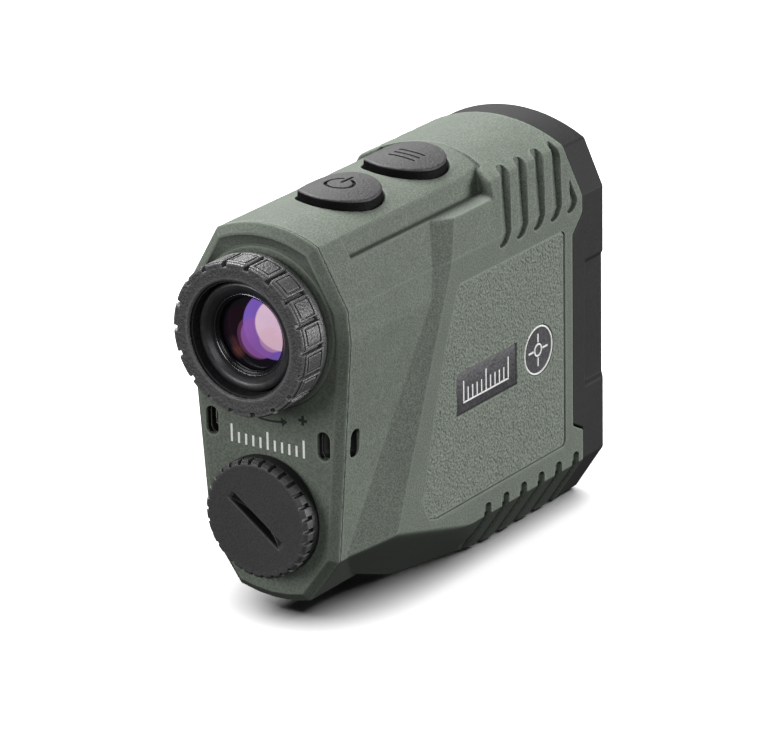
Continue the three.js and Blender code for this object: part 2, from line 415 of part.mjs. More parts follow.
put('armour_shell', shape(shell), M.armour, housing);
put('rear_cover', shape(cover), M.armour, housing);
put('objective_bezel', shape(bezel), M.bezel, housing);
put('name_plate_right', platePrism, M.plate, housing);
put('name_plate_left', mirrored(platePrism), M.plate, housing);
put('badge_right', badgePrism, M.badge, housing);
put('badge_left', mirrored(badgePrism), M.badge, housing);
SCREWS.forEach(([x, z], i) => put(`bezel_screw_${i + 1}`, screwAt(x, z), M.steel, housing));

put('optic_bench', shape(bench), M.blackPlastic, optics);
put('reticle_display', reticle, M.glass, optics);
put('roof_prism', prismA, M.glass, optics);
put('half_penta_prism', prismB, M.glass, optics);
put('objective_tube', objectiveTube, M.darkMetal, optics);
put('objective_lens', objectiveLens, M.glass, optics);
put('objective_ring', objectiveRing, M.darkMetal, optics);
put('receiver_cone', receiverCone, M.blackPlastic, optics);
put('receiver_lens', receiverLens, M.glass, optics);
put('receiver_ring', receiverRing, M.darkMetal, optics);
put('receiver_board', receiverBoard, M.board, optics);
put('detector_can', detector, M.steel, optics);
put('emitter_tube', emitterTube, M.darkMetal, optics);
put('emitter_lens', emitterLens, M.glass, optics);
put('laser_diode', laserDiode, M.brass, optics);
put('main_board', mainBoard, M.board, optics);

put('dioptre_grip', shape(dioptreGrip), M.blackRubber, controls);
put('dioptre_sleeve', dioptreSleeve, M.blackPlastic, controls);
put('ocular_cell', ocularCell, M.darkMetal, controls);
put('eye_lens', eyeLens, M.glass, controls);
put('eye_lens_ring', eyeLensRing, M.darkMetal, controls);
put('field_lens', fieldLens, M.glass, controls);
put('field_lens_ring', fieldLensRing, M.darkMetal, controls);
put('switch_board', switchBoard, M.board, controls);
['power', 'mode'].forEach((n, i) => {
  put(`${n}_key`, keys[i], M.key, controls);
  put(`${n}_switch`, switches[i], M.switchGrey, controls);
  put(`${n}_plunger`, plungers[i], M.switchGrey, controls);
});

put('battery_cap', shape(cap), M.cap, power);
put('cap_seal', capRing, M.seal, power);
put('cap_contact', capContact, M.brass, power);
put('cap_spring', coil, M.steel, power);
put('battery_tube', batteryTube, M.blackPlastic, power);
put('battery_cell', batteryCell, M.cell, power);
put('battery_contact', batteryContact, M.brass, power);

export default object;
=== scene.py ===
"""Looks for the handheld laser rangefinder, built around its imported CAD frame.

Shapes are drawn in millimetres in the drawing frame (Y along the optical axis with the flat rear face at y = 0,
Z up), then moved into the object's frame and scaled to metres. Rounded moulded shapes are implicit solids whose
surface is meshed here, so every edge has a real radius.
"""
import bpy, math
import numpy as np
from mathutils import Vector, Matrix


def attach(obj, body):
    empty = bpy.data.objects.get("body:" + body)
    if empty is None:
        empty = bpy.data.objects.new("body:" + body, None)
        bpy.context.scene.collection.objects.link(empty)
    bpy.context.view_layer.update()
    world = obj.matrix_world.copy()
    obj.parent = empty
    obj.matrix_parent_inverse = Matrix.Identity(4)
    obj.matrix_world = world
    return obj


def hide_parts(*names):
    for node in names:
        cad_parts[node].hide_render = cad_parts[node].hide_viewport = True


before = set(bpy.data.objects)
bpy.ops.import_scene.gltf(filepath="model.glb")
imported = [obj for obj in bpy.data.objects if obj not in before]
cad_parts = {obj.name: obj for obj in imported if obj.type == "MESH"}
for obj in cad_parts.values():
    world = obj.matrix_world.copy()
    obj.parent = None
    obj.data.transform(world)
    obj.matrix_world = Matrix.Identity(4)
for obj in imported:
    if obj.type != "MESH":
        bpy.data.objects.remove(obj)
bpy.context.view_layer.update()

OFF_Y, OFF_Z = -39.8, 3.6          # drawing frame to object frame, mm
MM = 0.001


def place(P):
    """drawing frame in mm -> object frame in metres"""
    P = np.asarray(P, float)
    return (P + np.array([0.0, OFF_Y, OFF_Z])) * MM


# ------------------------------------------------------------------ implicit solids
def smax(a, b, k):
    h = np.maximum(k - np.abs(a - b), 0.0)
    return np.maximum(a, b) + h * h * (0.25 / k)


def smin(a, b, k):
    h = np.maximum(k - np.abs(a - b), 0.0)
    return np.minimum(a, b) - h * h * (0.25 / k)


def plane(x, y, z, p, n):
    l = math.sqrt(n[0] ** 2 + n[1] ** 2 + n[2] ** 2)
    return ((x - p[0]) * n[0] + (y - p[1]) * n[1] + (z - p[2]) * n[2]) / l


def chain(u, v, pts, R):
    """convex run of edges going down the right-hand side of a section, outward to the right, corners rounded to radius R"""
    f, last = None, None
    for (u0, v0), (u1, v1) in zip(pts[:-1], pts[1:]):
        l = math.hypot(u1 - u0, v1 - v0)
        n = (-(v1 - v0) / l, (u1 - u0) / l)
        d = (u - u0) * n[0] + (v - v0) * n[1]
        if f is None:
            f = d
        else:
            f = smax(f, d, max(0.008, R * (1 - last[0] * n[0] - last[1] * n[1])))
        last = n
    return f


def arch(ax, z, R, top):
    c = top - R
    return np.where(z > c, np.hypot(ax, z - c), ax) - R


def stadium(u, v, w, h):
    r = w / 2
    return np.hypot(u, np.maximum(np.abs(v) - (h / 2 - r), 0)) - r


def slab(v, lo, hi):
    return np.abs(v - (lo + hi) / 2) - (hi - lo) / 2


def within(f, mask, fn):
    """apply fn(current values, index) only where mask holds"""
    i = np.nonzero(mask)
    if len(i[0]):
        f[i] = fn(f[i], i)
    return f


# ------------------------------------------------------------------ meshing an implicit solid
def sample(f, P, chunk=1500000):
    out = np.empty(len(P), np.float32)
    for a in range(0, len(P), chunk):
        q = P[a:a + chunk]
        out[a:a + chunk] = f(q[:, 0].astype(np.float64), q[:, 1].astype(np.float64), q[:, 2].astype(np.float64))
    return out


def gradient(f, P, e=0.02):
    g = np.empty((len(P), 3))
    for i in range(3):
        d = np.zeros(3)
        d[i] = e
        g[:, i] = (sample(f, P + d) - sample(f, P - d)) / (2 * e)
    return g


def settle(f, P, rounds=2, most=0.2):
    for _ in range(rounds):
        v = sample(f, P).astype(float)
        g = gradient(f, P)
        gg = np.maximum((g * g).sum(1), 0.05)
        step = -(v / gg)[:, None] * g
        l = np.linalg.norm(step, axis=1, keepdims=True)
        step *= np.minimum(1.0, most / np.maximum(l, 1e-9))
        P = P + step
    return P


def nets(f, lo, hi, h, block=4):
    """surface nets: vertices in mm and quads of the surface f = 0 inside the box"""
    lo, hi = np.asarray(lo, float), np.asarray(hi, float)
    nb = np.ceil((hi - lo) / (h * block)).astype(int) + 1
    n = nb * block
    c = np.stack(np.meshgrid(*[lo[i] + (np.arange(nb[i]) + 0.5) * block * h - h / 2 for i in range(3)], indexing="ij"), -1).reshape(-1, 3)
    v = sample(f, c)
    reach = 0.5 * math.sqrt(3) * block * h * 1.25
    near = np.nonzero(np.abs(v) < reach)[0]
    vol = np.where(v < 0, -1.0, 1.0).astype(np.float32).reshape(nb)
    vol = np.repeat(np.repeat(np.repeat(vol, block, 0), block, 1), block, 2)
    b = np.stack(np.unravel_index(near, nb), -1)
    o = np.stack(np.meshgrid(*[np.arange(block)] * 3, indexing="ij"), -1).reshape(-1, 3)
    step = 20000
    for a in range(0, len(b), step):
        idx = (b[a:a + step, None, :] * block + o[None]).reshape(-1, 3)
        vol[idx[:, 0], idx[:, 1], idx[:, 2]] = sample(f, lo + idx * h)
    s = vol < 0
    dims = np.array(s.shape) - 1
    quads = []
    cell = lambda ijk: (ijk[:, 0] * dims[1] + ijk[:, 1]) * dims[2] + ijk[:, 2]
    for ax in range(3):
        sl0 = [slice(None)] * 3
        sl1 = [slice(None)] * 3
        sl0[ax], sl1[ax] = slice(0, -1), slice(1, None)
        cross = s[tuple(sl0)] != s[tuple(sl1)]
        e = np.argwhere(cross)
        u, w = [(1, 2), (2, 0), (0, 1)][ax]
        e = e[(e[:, u] > 0) & (e[:, w] > 0) & (e[:, u] < dims[u]) & (e[:, w] < dims[w])]
        inside = s[e[:, 0], e[:, 1], e[:, 2]]
        du, dw = np.zeros(3, int), np.zeros(3, int)
        du[u], dw[w] = 1, 1
        q = np.stack([cell(e - du - dw), cell(e - dw), cell(e), cell(e - du)], 1)
        q[~inside] = q[~inside][:, ::-1]
        quads.append(q)
    q = np.concatenate(quads)
    ids, inv = np.unique(q.ravel(), return_inverse=True)
    faces = inv.reshape(-1, 4)
    base = np.stack([ids // (dims[1] * dims[2]), (ids // dims[2]) % dims[1], ids % dims[2]], 1)
    corners = np.array([[i, j, k] for i in (0, 1) for j in (0, 1) for k in (0, 1)])
    vals = np.stack([vol[base[:, 0] + c[0], base[:, 1] + c[1], base[:, 2] + c[2]] for c in corners], 1)
    acc, cnt = np.zeros((len(ids), 3)), np.zeros(len(ids))
    for a in range(8):
        for c in range(a + 1, 8):
            d = corners[c] - corners[a]
            if np.abs(d).sum() != 1:
                continue
            m = (vals[:, a] < 0) != (vals[:, c] < 0)
            t = vals[m, a] / (vals[m, a] - vals[m, c])
            acc[m] += corners[a] + t[:, None] * d
            cnt[m] += 1
    P = lo + (base + acc / np.maximum(cnt, 1)[:, None]) * h
    return P, faces


def mesh_object(name, P, faces, to_world=True):
    me = bpy.data.meshes.new(name)
    co = place(P) if to_world else np.asarray(P, float)
    me.vertices.add(len(co))
    me.vertices.foreach_set("co", co.astype(np.float32).ravel())
    faces = np.asarray(faces)
    k = faces.shape[1]
    me.loops.add(faces.size)
    me.loops.foreach_set("vertex_index", faces.ravel().astype(np.int32))
    me.polygons.add(len(faces))
    me.polygons.foreach_set("loop_start", (np.arange(len(faces)) * k).astype(np.int32))
    me.polygons.foreach_set("loop_total", np.full(len(faces), k, np.int32))
    me.update(calc_edges=True)
    me.validate(clean_customdata=False)
    ob = bpy.data.objects.new(name, me)
    bpy.context.scene.collection.objects.link(ob)
    return ob


def thin(ob, target):
    tris = len(ob.data.polygons) * 2
    if tris <= target:
        return ob
    m = ob.modifiers.new("thin", "DECIMATE")
    m.ratio = target / tris
    dg = bpy.context.evaluated_depsgraph_get()
    me = bpy.data.meshes.new_from_object(ob.evaluated_get(dg))
    old = ob.data
    ob.modifiers.clear()
    ob.data = me
    bpy.data.meshes.remove(old)
    me.name = ob.name
    return ob


def moulded(name, f, lo, hi, h, target, flip=False):
    """a piece whose surface is f = 0, with true normals and an 'edge' attribute: above 0 on outer edges, below in corners"""
    P, F = nets(f, lo, hi, h)
    P = settle(f, P, 2, h * 0.6)
    ob = mesh_object(name, P, F)
    thin(ob, target)
    me = ob.data
    co = np.empty(len(me.vertices) * 3, np.float32)
    me.vertices.foreach_get("co", co)
    Q = co.reshape(-1, 3) / MM - np.array([0.0, OFF_Y, OFF_Z])
    Q = settle(f, Q, 1, h * 0.3)
    me.vertices.foreach_set("co", place(Q).astype(np.float32).ravel())
    e = 0.3
    v0 = sample(f, Q).astype(float)
    lap = -6 * v0
    for i in range(3):
        d = np.zeros(3)
        d[i] = e
        lap += sample(f, Q + d) + sample(f, Q - d)
    edge = np.clip(lap / (e * e) * 0.35, -1, 1)
    at = me.attributes.new("edge", "FLOAT", "POINT")
    at.data.foreach_set("value", edge.astype(np.float32))
    g = gradient(f, Q, 0.03)
    g /= np.maximum(np.linalg.norm(g, axis=1, keepdims=True), 1e-9)
    me.polygons.foreach_set("use_smooth", np.ones(len(me.polygons), bool))
    me.update()
    me.normals_split_custom_set_from_vertices(g.tolist())
    return ob


# ------------------------------------------------------------------ value noise for moulded pebbling
def noise2(u, v, seed):
    iu, iv = np.floor(u).astype(np.int64), np.floor(v).astype(np.int64)
    fu, fv = u - iu, v - iv
    su, sv = fu * fu * fu * (fu * (fu * 6 - 15) + 10), fv * fv * fv * (fv * (fv * 6 - 15) + 10)
    total = 0
    for a in (0, 1):
        for b in (0, 1):
            n = ((iu + a) * 374761393 + (iv + b) * 668265263 + seed * 982451653) & 0x7FFFFFFF
            n = ((n ^ (n >> 13)) * 1274126177) & 0x7FFFFFFF
            n = n ^ (n >> 16)
            ang = n.astype(float) * (2 * math.pi / 0x7FFFFFFF)
            w = (su if a else 1 - su) * (sv if b else 1 - sv)
            total = total + w * (np.cos(ang) * (fu - a) + np.sin(ang) * (fv - b))
    return total * 1.4


# ------------------------------------------------------------------ shared sections (same numbers as the CAD)
EYE_Z, CAP_Z = 56.0, 18.4
REAR = [(11.5, 73.5), (18.0, 62.2), (18.6, 56.0), (15.1, 11.0), (8.2, 1.6), (4.0, 0.7), (-0.5, 0.36)]
GRIP = [(15.4, 72.4), (20.0, 62.8), (20.0, 6.9), (13.4, -3.0), (8.5, -3.6), (-0.5, -3.6)]
BEZEL = [(15.3, 72.3), (19.8, 62.6), (19.8, 7.0), (13.3, -2.9), (8.4, -3.5), (-0.5, -3.5)]
CAVITY = [(9.6, 70.4), (15.6, 61.0), (16.0, 56.0), (13.2, 13.0), (7.2, 4.4), (-0.5, 4.4)]
BANDS = [((17.9, 29.6, 62.6), (0.868, -0.461, 0.185)), ((20.0, 33.5, 62.8), (0.613, -0.431, 0.661)),
         ((20.0, 17.0, 12.1), (0.755, -0.178, -0.641)), ((15.56, 4.59, 11.26), (0.671, -0.192, -0.716))]
KEY_Y = (23.7, 45.6)
KEY_OUT = [(-4.73, -5.98), (-2.49, -7.48), (-0.6, -8.3), (1.2, -8.64), (2.8, -8.44), (4.5, -7.72), (6, -6.47), (7.2, -4.92), (8.15, -3.18),
           (8.7, -1.35), (8.75, 0.9), (8.4, 3.1), (7.6, 5), (6.4, 6.5), (4.8, 7.6), (2.9, 8.3), (0.8, 8.5), (-1.12, 8.2),
           (-2.75, 7.35), (-4.21, 5.95), (-5.16, 4), (-5.63, 1.8), (-5.72, -0.58), (-5.59, -3.09), (-5.33, -5.02)]
_ang = np.array([math.atan2(v, u) for u, v in KEY_OUT])
_rad = np.array([math.hypot(u, v) for u, v in KEY_OUT])
_o = np.argsort(_ang)
_ang, _rad = _ang[_o], _rad[_o]
_T = np.linspace(-math.pi, math.pi, 1441)
_R = np.interp(_T, np.concatenate([_ang - 2 * math.pi, _ang, _ang + 2 * math.pi]), np.tile(_rad, 3))
_ker = np.hanning(61)
_R = np.convolve(np.concatenate([_R[-61:-1], _R, _R[1:61]]), _ker / _ker.sum(), "same")[60:-60]


def key_outline(x, y, yc):
    u, v = x, y - yc
    return np.hypot(u, v) - np.interp(np.arctan2(v, u), _T, _R)


def rear_section(ax, z, R=1.0):
    return smax(arch(ax, z, 26.7, 76.1), chain(ax, z, REAR, R), 0.2 * R)


# ------------------------------------------------------------------ armour
PANEL = [(35.7, 57.4), (30.8, 45.6), (26.8, 32.6), (24.2, 23.2), (23.0, 17.6), (23.2, 15.0), (24.6, 12.9), (27.2, 12.1), (72.2, 12.1), (73.0, 12.9), (73.0, 56.6), (72.2, 57.4)]


def panel2(y, z, k=0.5):
    """outline of the textured side panel, below 0 inside"""
    f = None
    pts = PANEL + PANEL[:1]
    for (y0, z0), (y1, z1) in zip(pts[:-1], pts[1:]):
        n = (z1 - z0, -(y1 - y0))          # runs anticlockwise seen with y right and z up
        l = math.hypot(*n)
        d = ((y - y0) * n[0] + (z - z0) * n[1]) / l
        f = d if f is None else np.maximum(f, d)
    return f


def passage(ax, y, z):
    rear = np.maximum(stadium(ax - 13.0, z - 34.55, 2.75, 5.7), slab(y, -4, 6.0))
    side = np.maximum(stadium(y - 4.7, z - 34.55, 2.75, 5.6), slab(ax, 11.6, 26))
    return np.minimum(rear, side)


def armour(x, y, z):
    ax = np.abs(x)
    rear = smax(rear_section(ax, z), y - 58.6, 0.3)
    grip = smax(arch(ax, z, 32.2, 76.3), chain(ax, z, GRIP, 0.9), 0.26)
    for k, (p, n) in enumerate(BANDS):
        grip = smax(grip, plane(ax, y, z, p, n), (0.09, 0.09, 0.8, 0.7)[k])
    grip = smax(grip, plane(x, y, z, (0, 19.5, 0.6), (0, -0.37, -0.93)), 0.2)
    f = smin(rear, grip, 0.12)
    # the key pad's lower arch, with a curved end
    pad = np.maximum(ax - 11.6, y - (58.0 - 2.0 * (x / 11.5) ** 2))
    pad = smax(pad, -arch(ax, z, 26.7, 76.1), 0.5)
    f = within(f, z > 70, lambda v, i: smax(v, -pad[i], 0.22))
    # finger shelves beside the pad
    def shelf(v, i):
        X, Y, Z = ax[i], y[i], z[i]
        cut = smax(-(X - 11.5 - (73.55 - Z) * 0.169) / 1.014, 69.4 - Z, 0.4)
        cut = smax(cut, 9.0 - Y, 0.4)
        cut = smax(cut, (0.42 * (X - 12.2) + 0.9 * (Y - 54.5)) / 0.993, 0.45)
        return smax(v, -cut, 0.26 + 0.9 * np.clip((Y - 50.5) / 2.5, 0, 1))
    f = within(f, (z > 66) & (y < 60) & (y > 6) & (ax > 9), shelf)
    # slanted finger grooves over the upper edge
    def grooves(v, i):
        X, Y, Z = ax[i], y[i], z[i]
        floor = smin(-((X - 13.1) * 11.2 + (Z - 73.6) * 6.0) / 12.706, -(X - 19.0), 0.1)
        best = None
        for j in range(5):
            u = (Y - (49.5 + 6.0 * j + 1.45) - 0.672 * (Z - 60.4)) / 1.2048
            c = stadium(u, (Z - 66.9) * 1.2, 2.42, 15.6)
            best = c if best is None else np.minimum(best, c)
        best = smax(smax(best, Y - 77.5, 0.2), floor, 0.1)
        return smax(v, -best, 0.16)
    f = within(f, (z > 58) & (y > 46) & (ax > 10), grooves)
    # short grooves over the lower edge
    def low(v, i):
        X, Y, Z = ax[i], y[i], z[i]
        j = np.clip(np.round((Y - 44.9) / 6.36), 0, 5)
        u = np.abs(Y - 44.9 - 6.36 * j)
        floor = smin(-(X - 18.95), -((X - 19.0) * 8.7 - (Z - 7.1) * 5.8) / 10.456, 0.1)
        c = smax(np.hypot(u, np.maximum(Z - 8.05, 0)) - 1.25, floor, 0.3)
        return smax(v, -c, 0.16)
    f = within(f, (z < 11) & (y > 42) & (ax > 9), low)
    # seat for the textured panel insert
    def seat(v, i):
        return smax(v, -np.maximum(panel2(y[i], z[i]), 19.0 - ax[i]), 0.15)
    f = within(f, (ax > 17.5) & (y > 21) & (y < 75) & (z > 10) & (z < 60), seat)
    f = within(f, (ax > 16.5) & (y > 32) & (y < 71) & (z > 28) & (z < 42),
               lambda v, i: np.maximum(v, -np.maximum(np.minimum(np.maximum(slab(y[i], 34.6, 56.2), slab(z[i], 30.3, 39.4)), np.hypot(y[i] - 63.9, z[i] - 35.1) - 5.45), 18.3 - ax[i])))
    # notch for the bezel's side tongue
    def notch(v, i):
        Y, Z = y[i], z[i]
        c = np.maximum(75.85 - Y, np.maximum((Z - 55.55 - (Y - 75.85) * 1.037) / 1.44, (15.25 - (Y - 75.85) * 0.543 - Z) / 1.138))
        return smax(v, -np.maximum(c, 17.7 - ax[i]), 0.15)
    f = within(f, (ax > 16) & (y > 73) & (z > 10) & (z < 62), notch)
    f = smax(f, y - 79.5, 0.22)
    f = smax(f, 1.86 - y, 0.18)
    # inside
    hollow = np.maximum(chain(ax, z, CAVITY, 1.0), z - 70.4)
    block = np.maximum(np.maximum(10.6 - ax, slab(y, -2, 10.2)), slab(z, 29.2, 39.9))
    hollow = np.maximum(hollow, -block)
    f = smax(f, -hollow, 0.3)
    f = within(f, (y < 9) & (ax > 9) & (z > 29) & (z < 40), lambda v, i: smax(v, -passage(ax[i], y[i], z[i]), 0.25))
    # key wells
    def wells(v, i):
        X, Y, Z = x[i], y[i], z[i]
        w = np.minimum(key_outline(X, Y, KEY_Y[0]), key_outline(X, Y, KEY_Y[1])) - 0.28
        w = np.maximum(w, 72.6 - Z)
        s = np.minimum(np.hypot(X, Y - KEY_Y[0]), np.hypot(X, Y - KEY_Y[1])) - 2.9
        v = smax(v, -w, 0.35)
        return np.maximum(v, -np.maximum(s, 66.0 - Z))
    f = within(f, (z > 66) & (ax < 11) & (y < 57) & (y > 12), wells)
    # screw holes behind the bezel
    f = within(f, (y > 69), lambda v, i: np.maximum(v, -np.maximum(np.minimum(np.hypot(ax[i] - 13.2, z[i] - 68.4), np.hypot(ax[i] - 16.6, z[i] - 10.6)) - 1.15, 70 - y[i])))
    return f


# ------------------------------------------------------------------ rear cover
def cover(x, y, z):
    ax = np.abs(x)
    d = rear_section(ax, z, 0.8)
    r = np.hypot(x, z - EYE_Z)
    # scooped field inside the rim over the upper half, with a raised lip round the eyepiece
    m = np.clip(-d - 2.15, 0, 9)
    up = np.clip((z - 50.0) / 9.0, 0, 1)
    up = up * up * (3 - 2 * up)
    t = m / np.maximum(m + np.clip(r - 15.75, 0, 9), 0.05)
    deep = 0.95 * up * np.clip(t, 0, 1) ** 0.8
    lip = np.clip((16.1 - r) / 0.45, 0, 1)
    lip = lip * lip * (3 - 2 * lip)
    face = -(y - deep * (1 - lip) - (0.35 * up - 0.25 * (1 - up)) * lip) / 1.12
    f = smax(d, face, 0.15)
    f = smax(f, ((d + 1.75) * 1.4 - y * 1.75) / 2.24, 0.14)
    f = smax(f, y - 1.66, 0.12)
    plug = np.maximum(np.maximum(chain(ax / 0.97, 37.4 + (z - 37.4) / 0.985, CAVITY, 1.0), (z - 37.4) / 0.985 + 37.4 - 70.4), slab(y, 1.0, 3.2))
    plug = np.maximum(plug, -np.maximum(10.2 - ax, slab(z, 28.8, 40.3)))
    f = np.minimum(f, plug)
    f = smax(f, -(r - 12.4), 0.3)
    rc = np.hypot(x, z - CAP_Z)
    f = smax(f, -np.minimum(rc - 9.75, np.maximum(rc - 10.5, y - 1.2)), 0.2)
    f = within(f, (ax > 9) & (z > 29) & (z < 40), lambda v, i: smax(v, -passage(ax[i], y[i], z[i]), 0.28))
    return f


# ------------------------------------------------------------------ objective bezel
def bezel(x, y, z):
    ax = np.abs(x)
    d = smax(arch(ax, z, 32.2, 75.9), chain(ax, z, BEZEL, 0.8), 0.24)
    f = smax(d, y - 88.2, 0.3)
    f = smax(f, (d + (y - 87.25)) / 1.414, 0.2)
    f = smax(f, 79.72 - y, 0.2)
    tongue = np.maximum(76.15 - y, np.maximum((z - 55.25 - (y - 76.15) * 1.037) / 1.44, (15.55 - (y - 76.15) * 0.543 - z) / 1.138))
    tongue = smax(tongue, ax - 19.8, 0.35)
    tongue = np.maximum(np.maximum(tongue, 17.9 - ax), y - 81)
    f = np.minimum(f, tongue)
    rec = smax(np.maximum((18.95 - ax + np.clip(81.5 - y, 0, 9) * 0.35), 80.6 - y), (np.abs(z - 35.5) - 13.4 + (19.8 - ax)) / 1.414, 0.2)
    f = smax(f, -rec, 0.22)
    inner = np.maximum(chain(ax, z, [(9.6, 70.4), (16.6, 61.0), (17.0, 56.0), (17.0, 16.0), (8.0, 4.4), (-0.5, 4.4)], 0.6), z - 70.4)
    f = np.maximum(f, -np.maximum(inner, y - 84.6))
    # raised lips round the three windows
    for zc, r, seat in ((56.0, 11.6, 1.6), (20.0, 10.0, 1.4), (38.6, 4.6, 0.9)):
        q = np.hypot(x, z - zc)
        cone = np.maximum(q - (r + 0.2), (q - r - 0.2 - (y - 87.3) * (seat / 2.6)) / 1.17)
        f = smax(f, -cone, 0.35)
    # shallow sunk field on the front face
    sunk = np.maximum(np.maximum(d + 2.6, 87.75 - y), -(np.minimum(np.minimum(np.hypot(x, z - 56) - 14.2, np.hypot(x, z - 20) - 12.4), np.hypot(x, z - 38.6) - 6.6)))
    sunk = np.maximum(sunk, -(np.minimum(np.hypot(ax - 13.2, z - 68.4), np.hypot(ax - 16.6, z - 10.6)) - 3.2))
    f = smax(f, -sunk, 0.25)
    s = np.minimum(np.hypot(ax - 13.2, z - 68.4), np.hypot(ax - 16.6, z - 10.6))
    f = np.maximum(f, -(s - 1.25))
    f = smax(f, -np.maximum(s - 2.15, 86.0 - y), 0.2)
    return f


# ------------------------------------------------------------------ side panel insert, with moulded pebbling
def pebble(y, z, seed):
    wy = y + 0.35 * noise2(y / 1.3, z / 1.3, seed + 5)
    wz = z + 0.35 * noise2(y / 1.3 + 9.1, z / 1.3, seed + 6)
    a = noise2(wy / 0.62, wz / 0.62, seed)
    b = noise2(wy / 0.36 + 3.3, wz / 0.36, seed + 1)
    return 0.16 * a + 0.085 * b


def panel_insert(x, y, z):
    p = panel2(y, z)
    rim = np.clip(-p / 0.7, 0, 1)
    seed = 11
    top = x - (19.74 - 0.06 * (1 - rim) + pebble(y, z, seed) * rim)
    f = smax(top / 1.04, p, 0.25)
    f = np.maximum(f, 19.08 - x)
    hole = np.maximum(slab(y, 34.8, 56.0), slab(z, 30.5, 39.2))
    f = smax(f, -hole, 0.15)
    f = smax(f, -(np.hypot(y - 63.9, z - 35.1) - 5.25), 0.2)
    return f


# ------------------------------------------------------------------ dioptre ring
PADS = 18


def dioptre(x, y, z):
    r = np.hypot(x, z - EYE_Z)
    a = np.arctan2(z - EYE_Z, x) - 0.022
    pitch = 2 * math.pi / PADS
    t = np.abs(a / pitch - np.floor(a / pitch) - 0.5) * pitch * 15.0      # arc length from the middle of a pad, mm
    body = smax(r - 14.25, slab(y, -8.5, -1.2), 0.3)
    flange = smax(r - 15.1 + 0.12 * np.clip(y + 1.6, 0, 1), slab(y, -2.6, -0.82), 0.4)
    f = smin(body, flange, 0.35)
    # pads step back once behind the front edge
    pad = smax(smax(t - 2.2, r - 15.33, 0.22), slab(y, -8.0, -2.2), 0.25)
    front = smax(smax(t - 2.1, r - 15.05, 0.2), slab(y, -8.46, -6.0), 0.22)
    pad = smin(pad, front, 0.1)
    pad = np.maximum(pad, 13.5 - r)
    # island inside a fine groove on each pad
    ring = np.abs(smax(t - 1.62, np.abs(y + 5.15) - 2.05, 0.15))
    groove = np.maximum(ring - 0.15, 15.0 - r)
    pad = smax(pad, -groove, 0.1)
    f = smin(f, pad, 0.12)
    # a thin rib runs along each gap
    rib = smax(smax(np.abs(t - 2.618) - 0.14, r - 14.5, 0.1), slab(y, -7.2, -2.4), 0.1)
    f = smin(f, np.maximum(rib, 13.5 - r), 0.1)
    # mouth
    f = smax(f, -np.maximum(r - 11.45, y + 7.9), 0.4)
    f = np.maximum(f, -np.maximum(r - 12.2, -7.9 - y))
    f = smax(f, -(y + 8.5) + 1.0 * np.clip(11.9 - r, 0, 1), 0.2)
    return f


# ------------------------------------------------------------------ battery cap
TEETH = 30


def cap(x, y, z):
    X, Z = x, z - CAP_Z
    r = np.hypot(X, Z)
    a = np.arctan2(Z, X)
    pitch = 2 * math.pi / TEETH
    t = np.abs(a / pitch - np.floor(a / pitch) - 0.5) * pitch * 11.7
    # smooth skirt, and a toothed front band whose teeth are bevelled at the front
    f = smax(r - (11.95 - 0.03 * (-y)), slab(y, -2.35, -0.32), 0.25)
    core = smax(r - 11.1, slab(y, -4.6, -1.0), 0.12)
    tooth = smax(smax(smax(r - 11.92, t - 0.93 + 0.12 * np.clip(r - 11.1, 0, 1), 0.14), slab(y, -4.58, -1.6), 0.14), (r - 11.3 - (y + 4.6) * 1.0) / 1.414, 0.14)
    f = smin(smin(f, core, 0.12), np.maximum(tooth, 10.5 - r), 0.1)
    spigot = np.maximum(r - np.where(y > 1.6, 9.45, 9.0), slab(y, -1, 4.6))
    f = np.minimum(f, spigot)
    f = np.maximum(f, -np.maximum(r - 8.0, 0.2 - y))
    c, s = math.cos(math.atan2(-7.9, 11.0)), math.sin(math.atan2(-7.9, 11.0))
    u, v = X * c + Z * s, -X * s + Z * c
    # coin slot with a round-cut floor
    floor = np.hypot(u, y + 4.6 + 11.0) - 13.2
    slot = smax(np.abs(v) - (0.66 + 0.2 * np.clip(-y - 3.4, 0, 1.2)), floor, 0.25)
    f = smax(f, -slot, 0.16)
    return f


# ------------------------------------------------------------------ keys
def strokes(u, v, segs):
    best = None
    for s in segs:
        if s[0] == "l":
            _, ax_, ay, bx, by = s
            dx, dy = bx - ax_, by - ay
            h = np.clip(((u - ax_) * dx + (v - ay) * dy) / (dx * dx + dy * dy), 0, 1)
            d = np.hypot(u - ax_ - h * dx, v - ay - h * dy)
        else:                                  # elliptical arc drawn as a ring, angles in degrees
            _, cx, cy, rx, ry, a0, a1 = s
            d = None
            n = max(6, int(abs(a1 - a0) / 14))
            A = np.radians(np.linspace(a0, a1, n + 1))
            pts = [(cx + rx * math.cos(t), cy + ry * math.sin(t)) for t in A]
            for (px, py), (qx, qy) in zip(pts[:-1], pts[1:]):
                dx, dy = qx - px, qy - py
                h = np.clip(((u - px) * dx + (v - py) * dy) / (dx * dx + dy * dy), 0, 1)
                e = np.hypot(u - px - h * dx, v - py - h * dy)
                d = e if d is None else np.minimum(d, e)
        best = d if best is None else np.minimum(best, d)
    return best


POWER = [("a", 0.7, 24.3, 2.75, 2.75, 112, 428), ("l", 0.75, 24.9, 0.75, 28.4)]
# three bars of a list, standing for the choice of reading
BARS = [("l", -1.1, 43.75, 4.3, 43.75), ("l", -1.1, 45.55, 4.3, 45.55), ("l", -1.1, 47.35, 4.3, 47.35)]


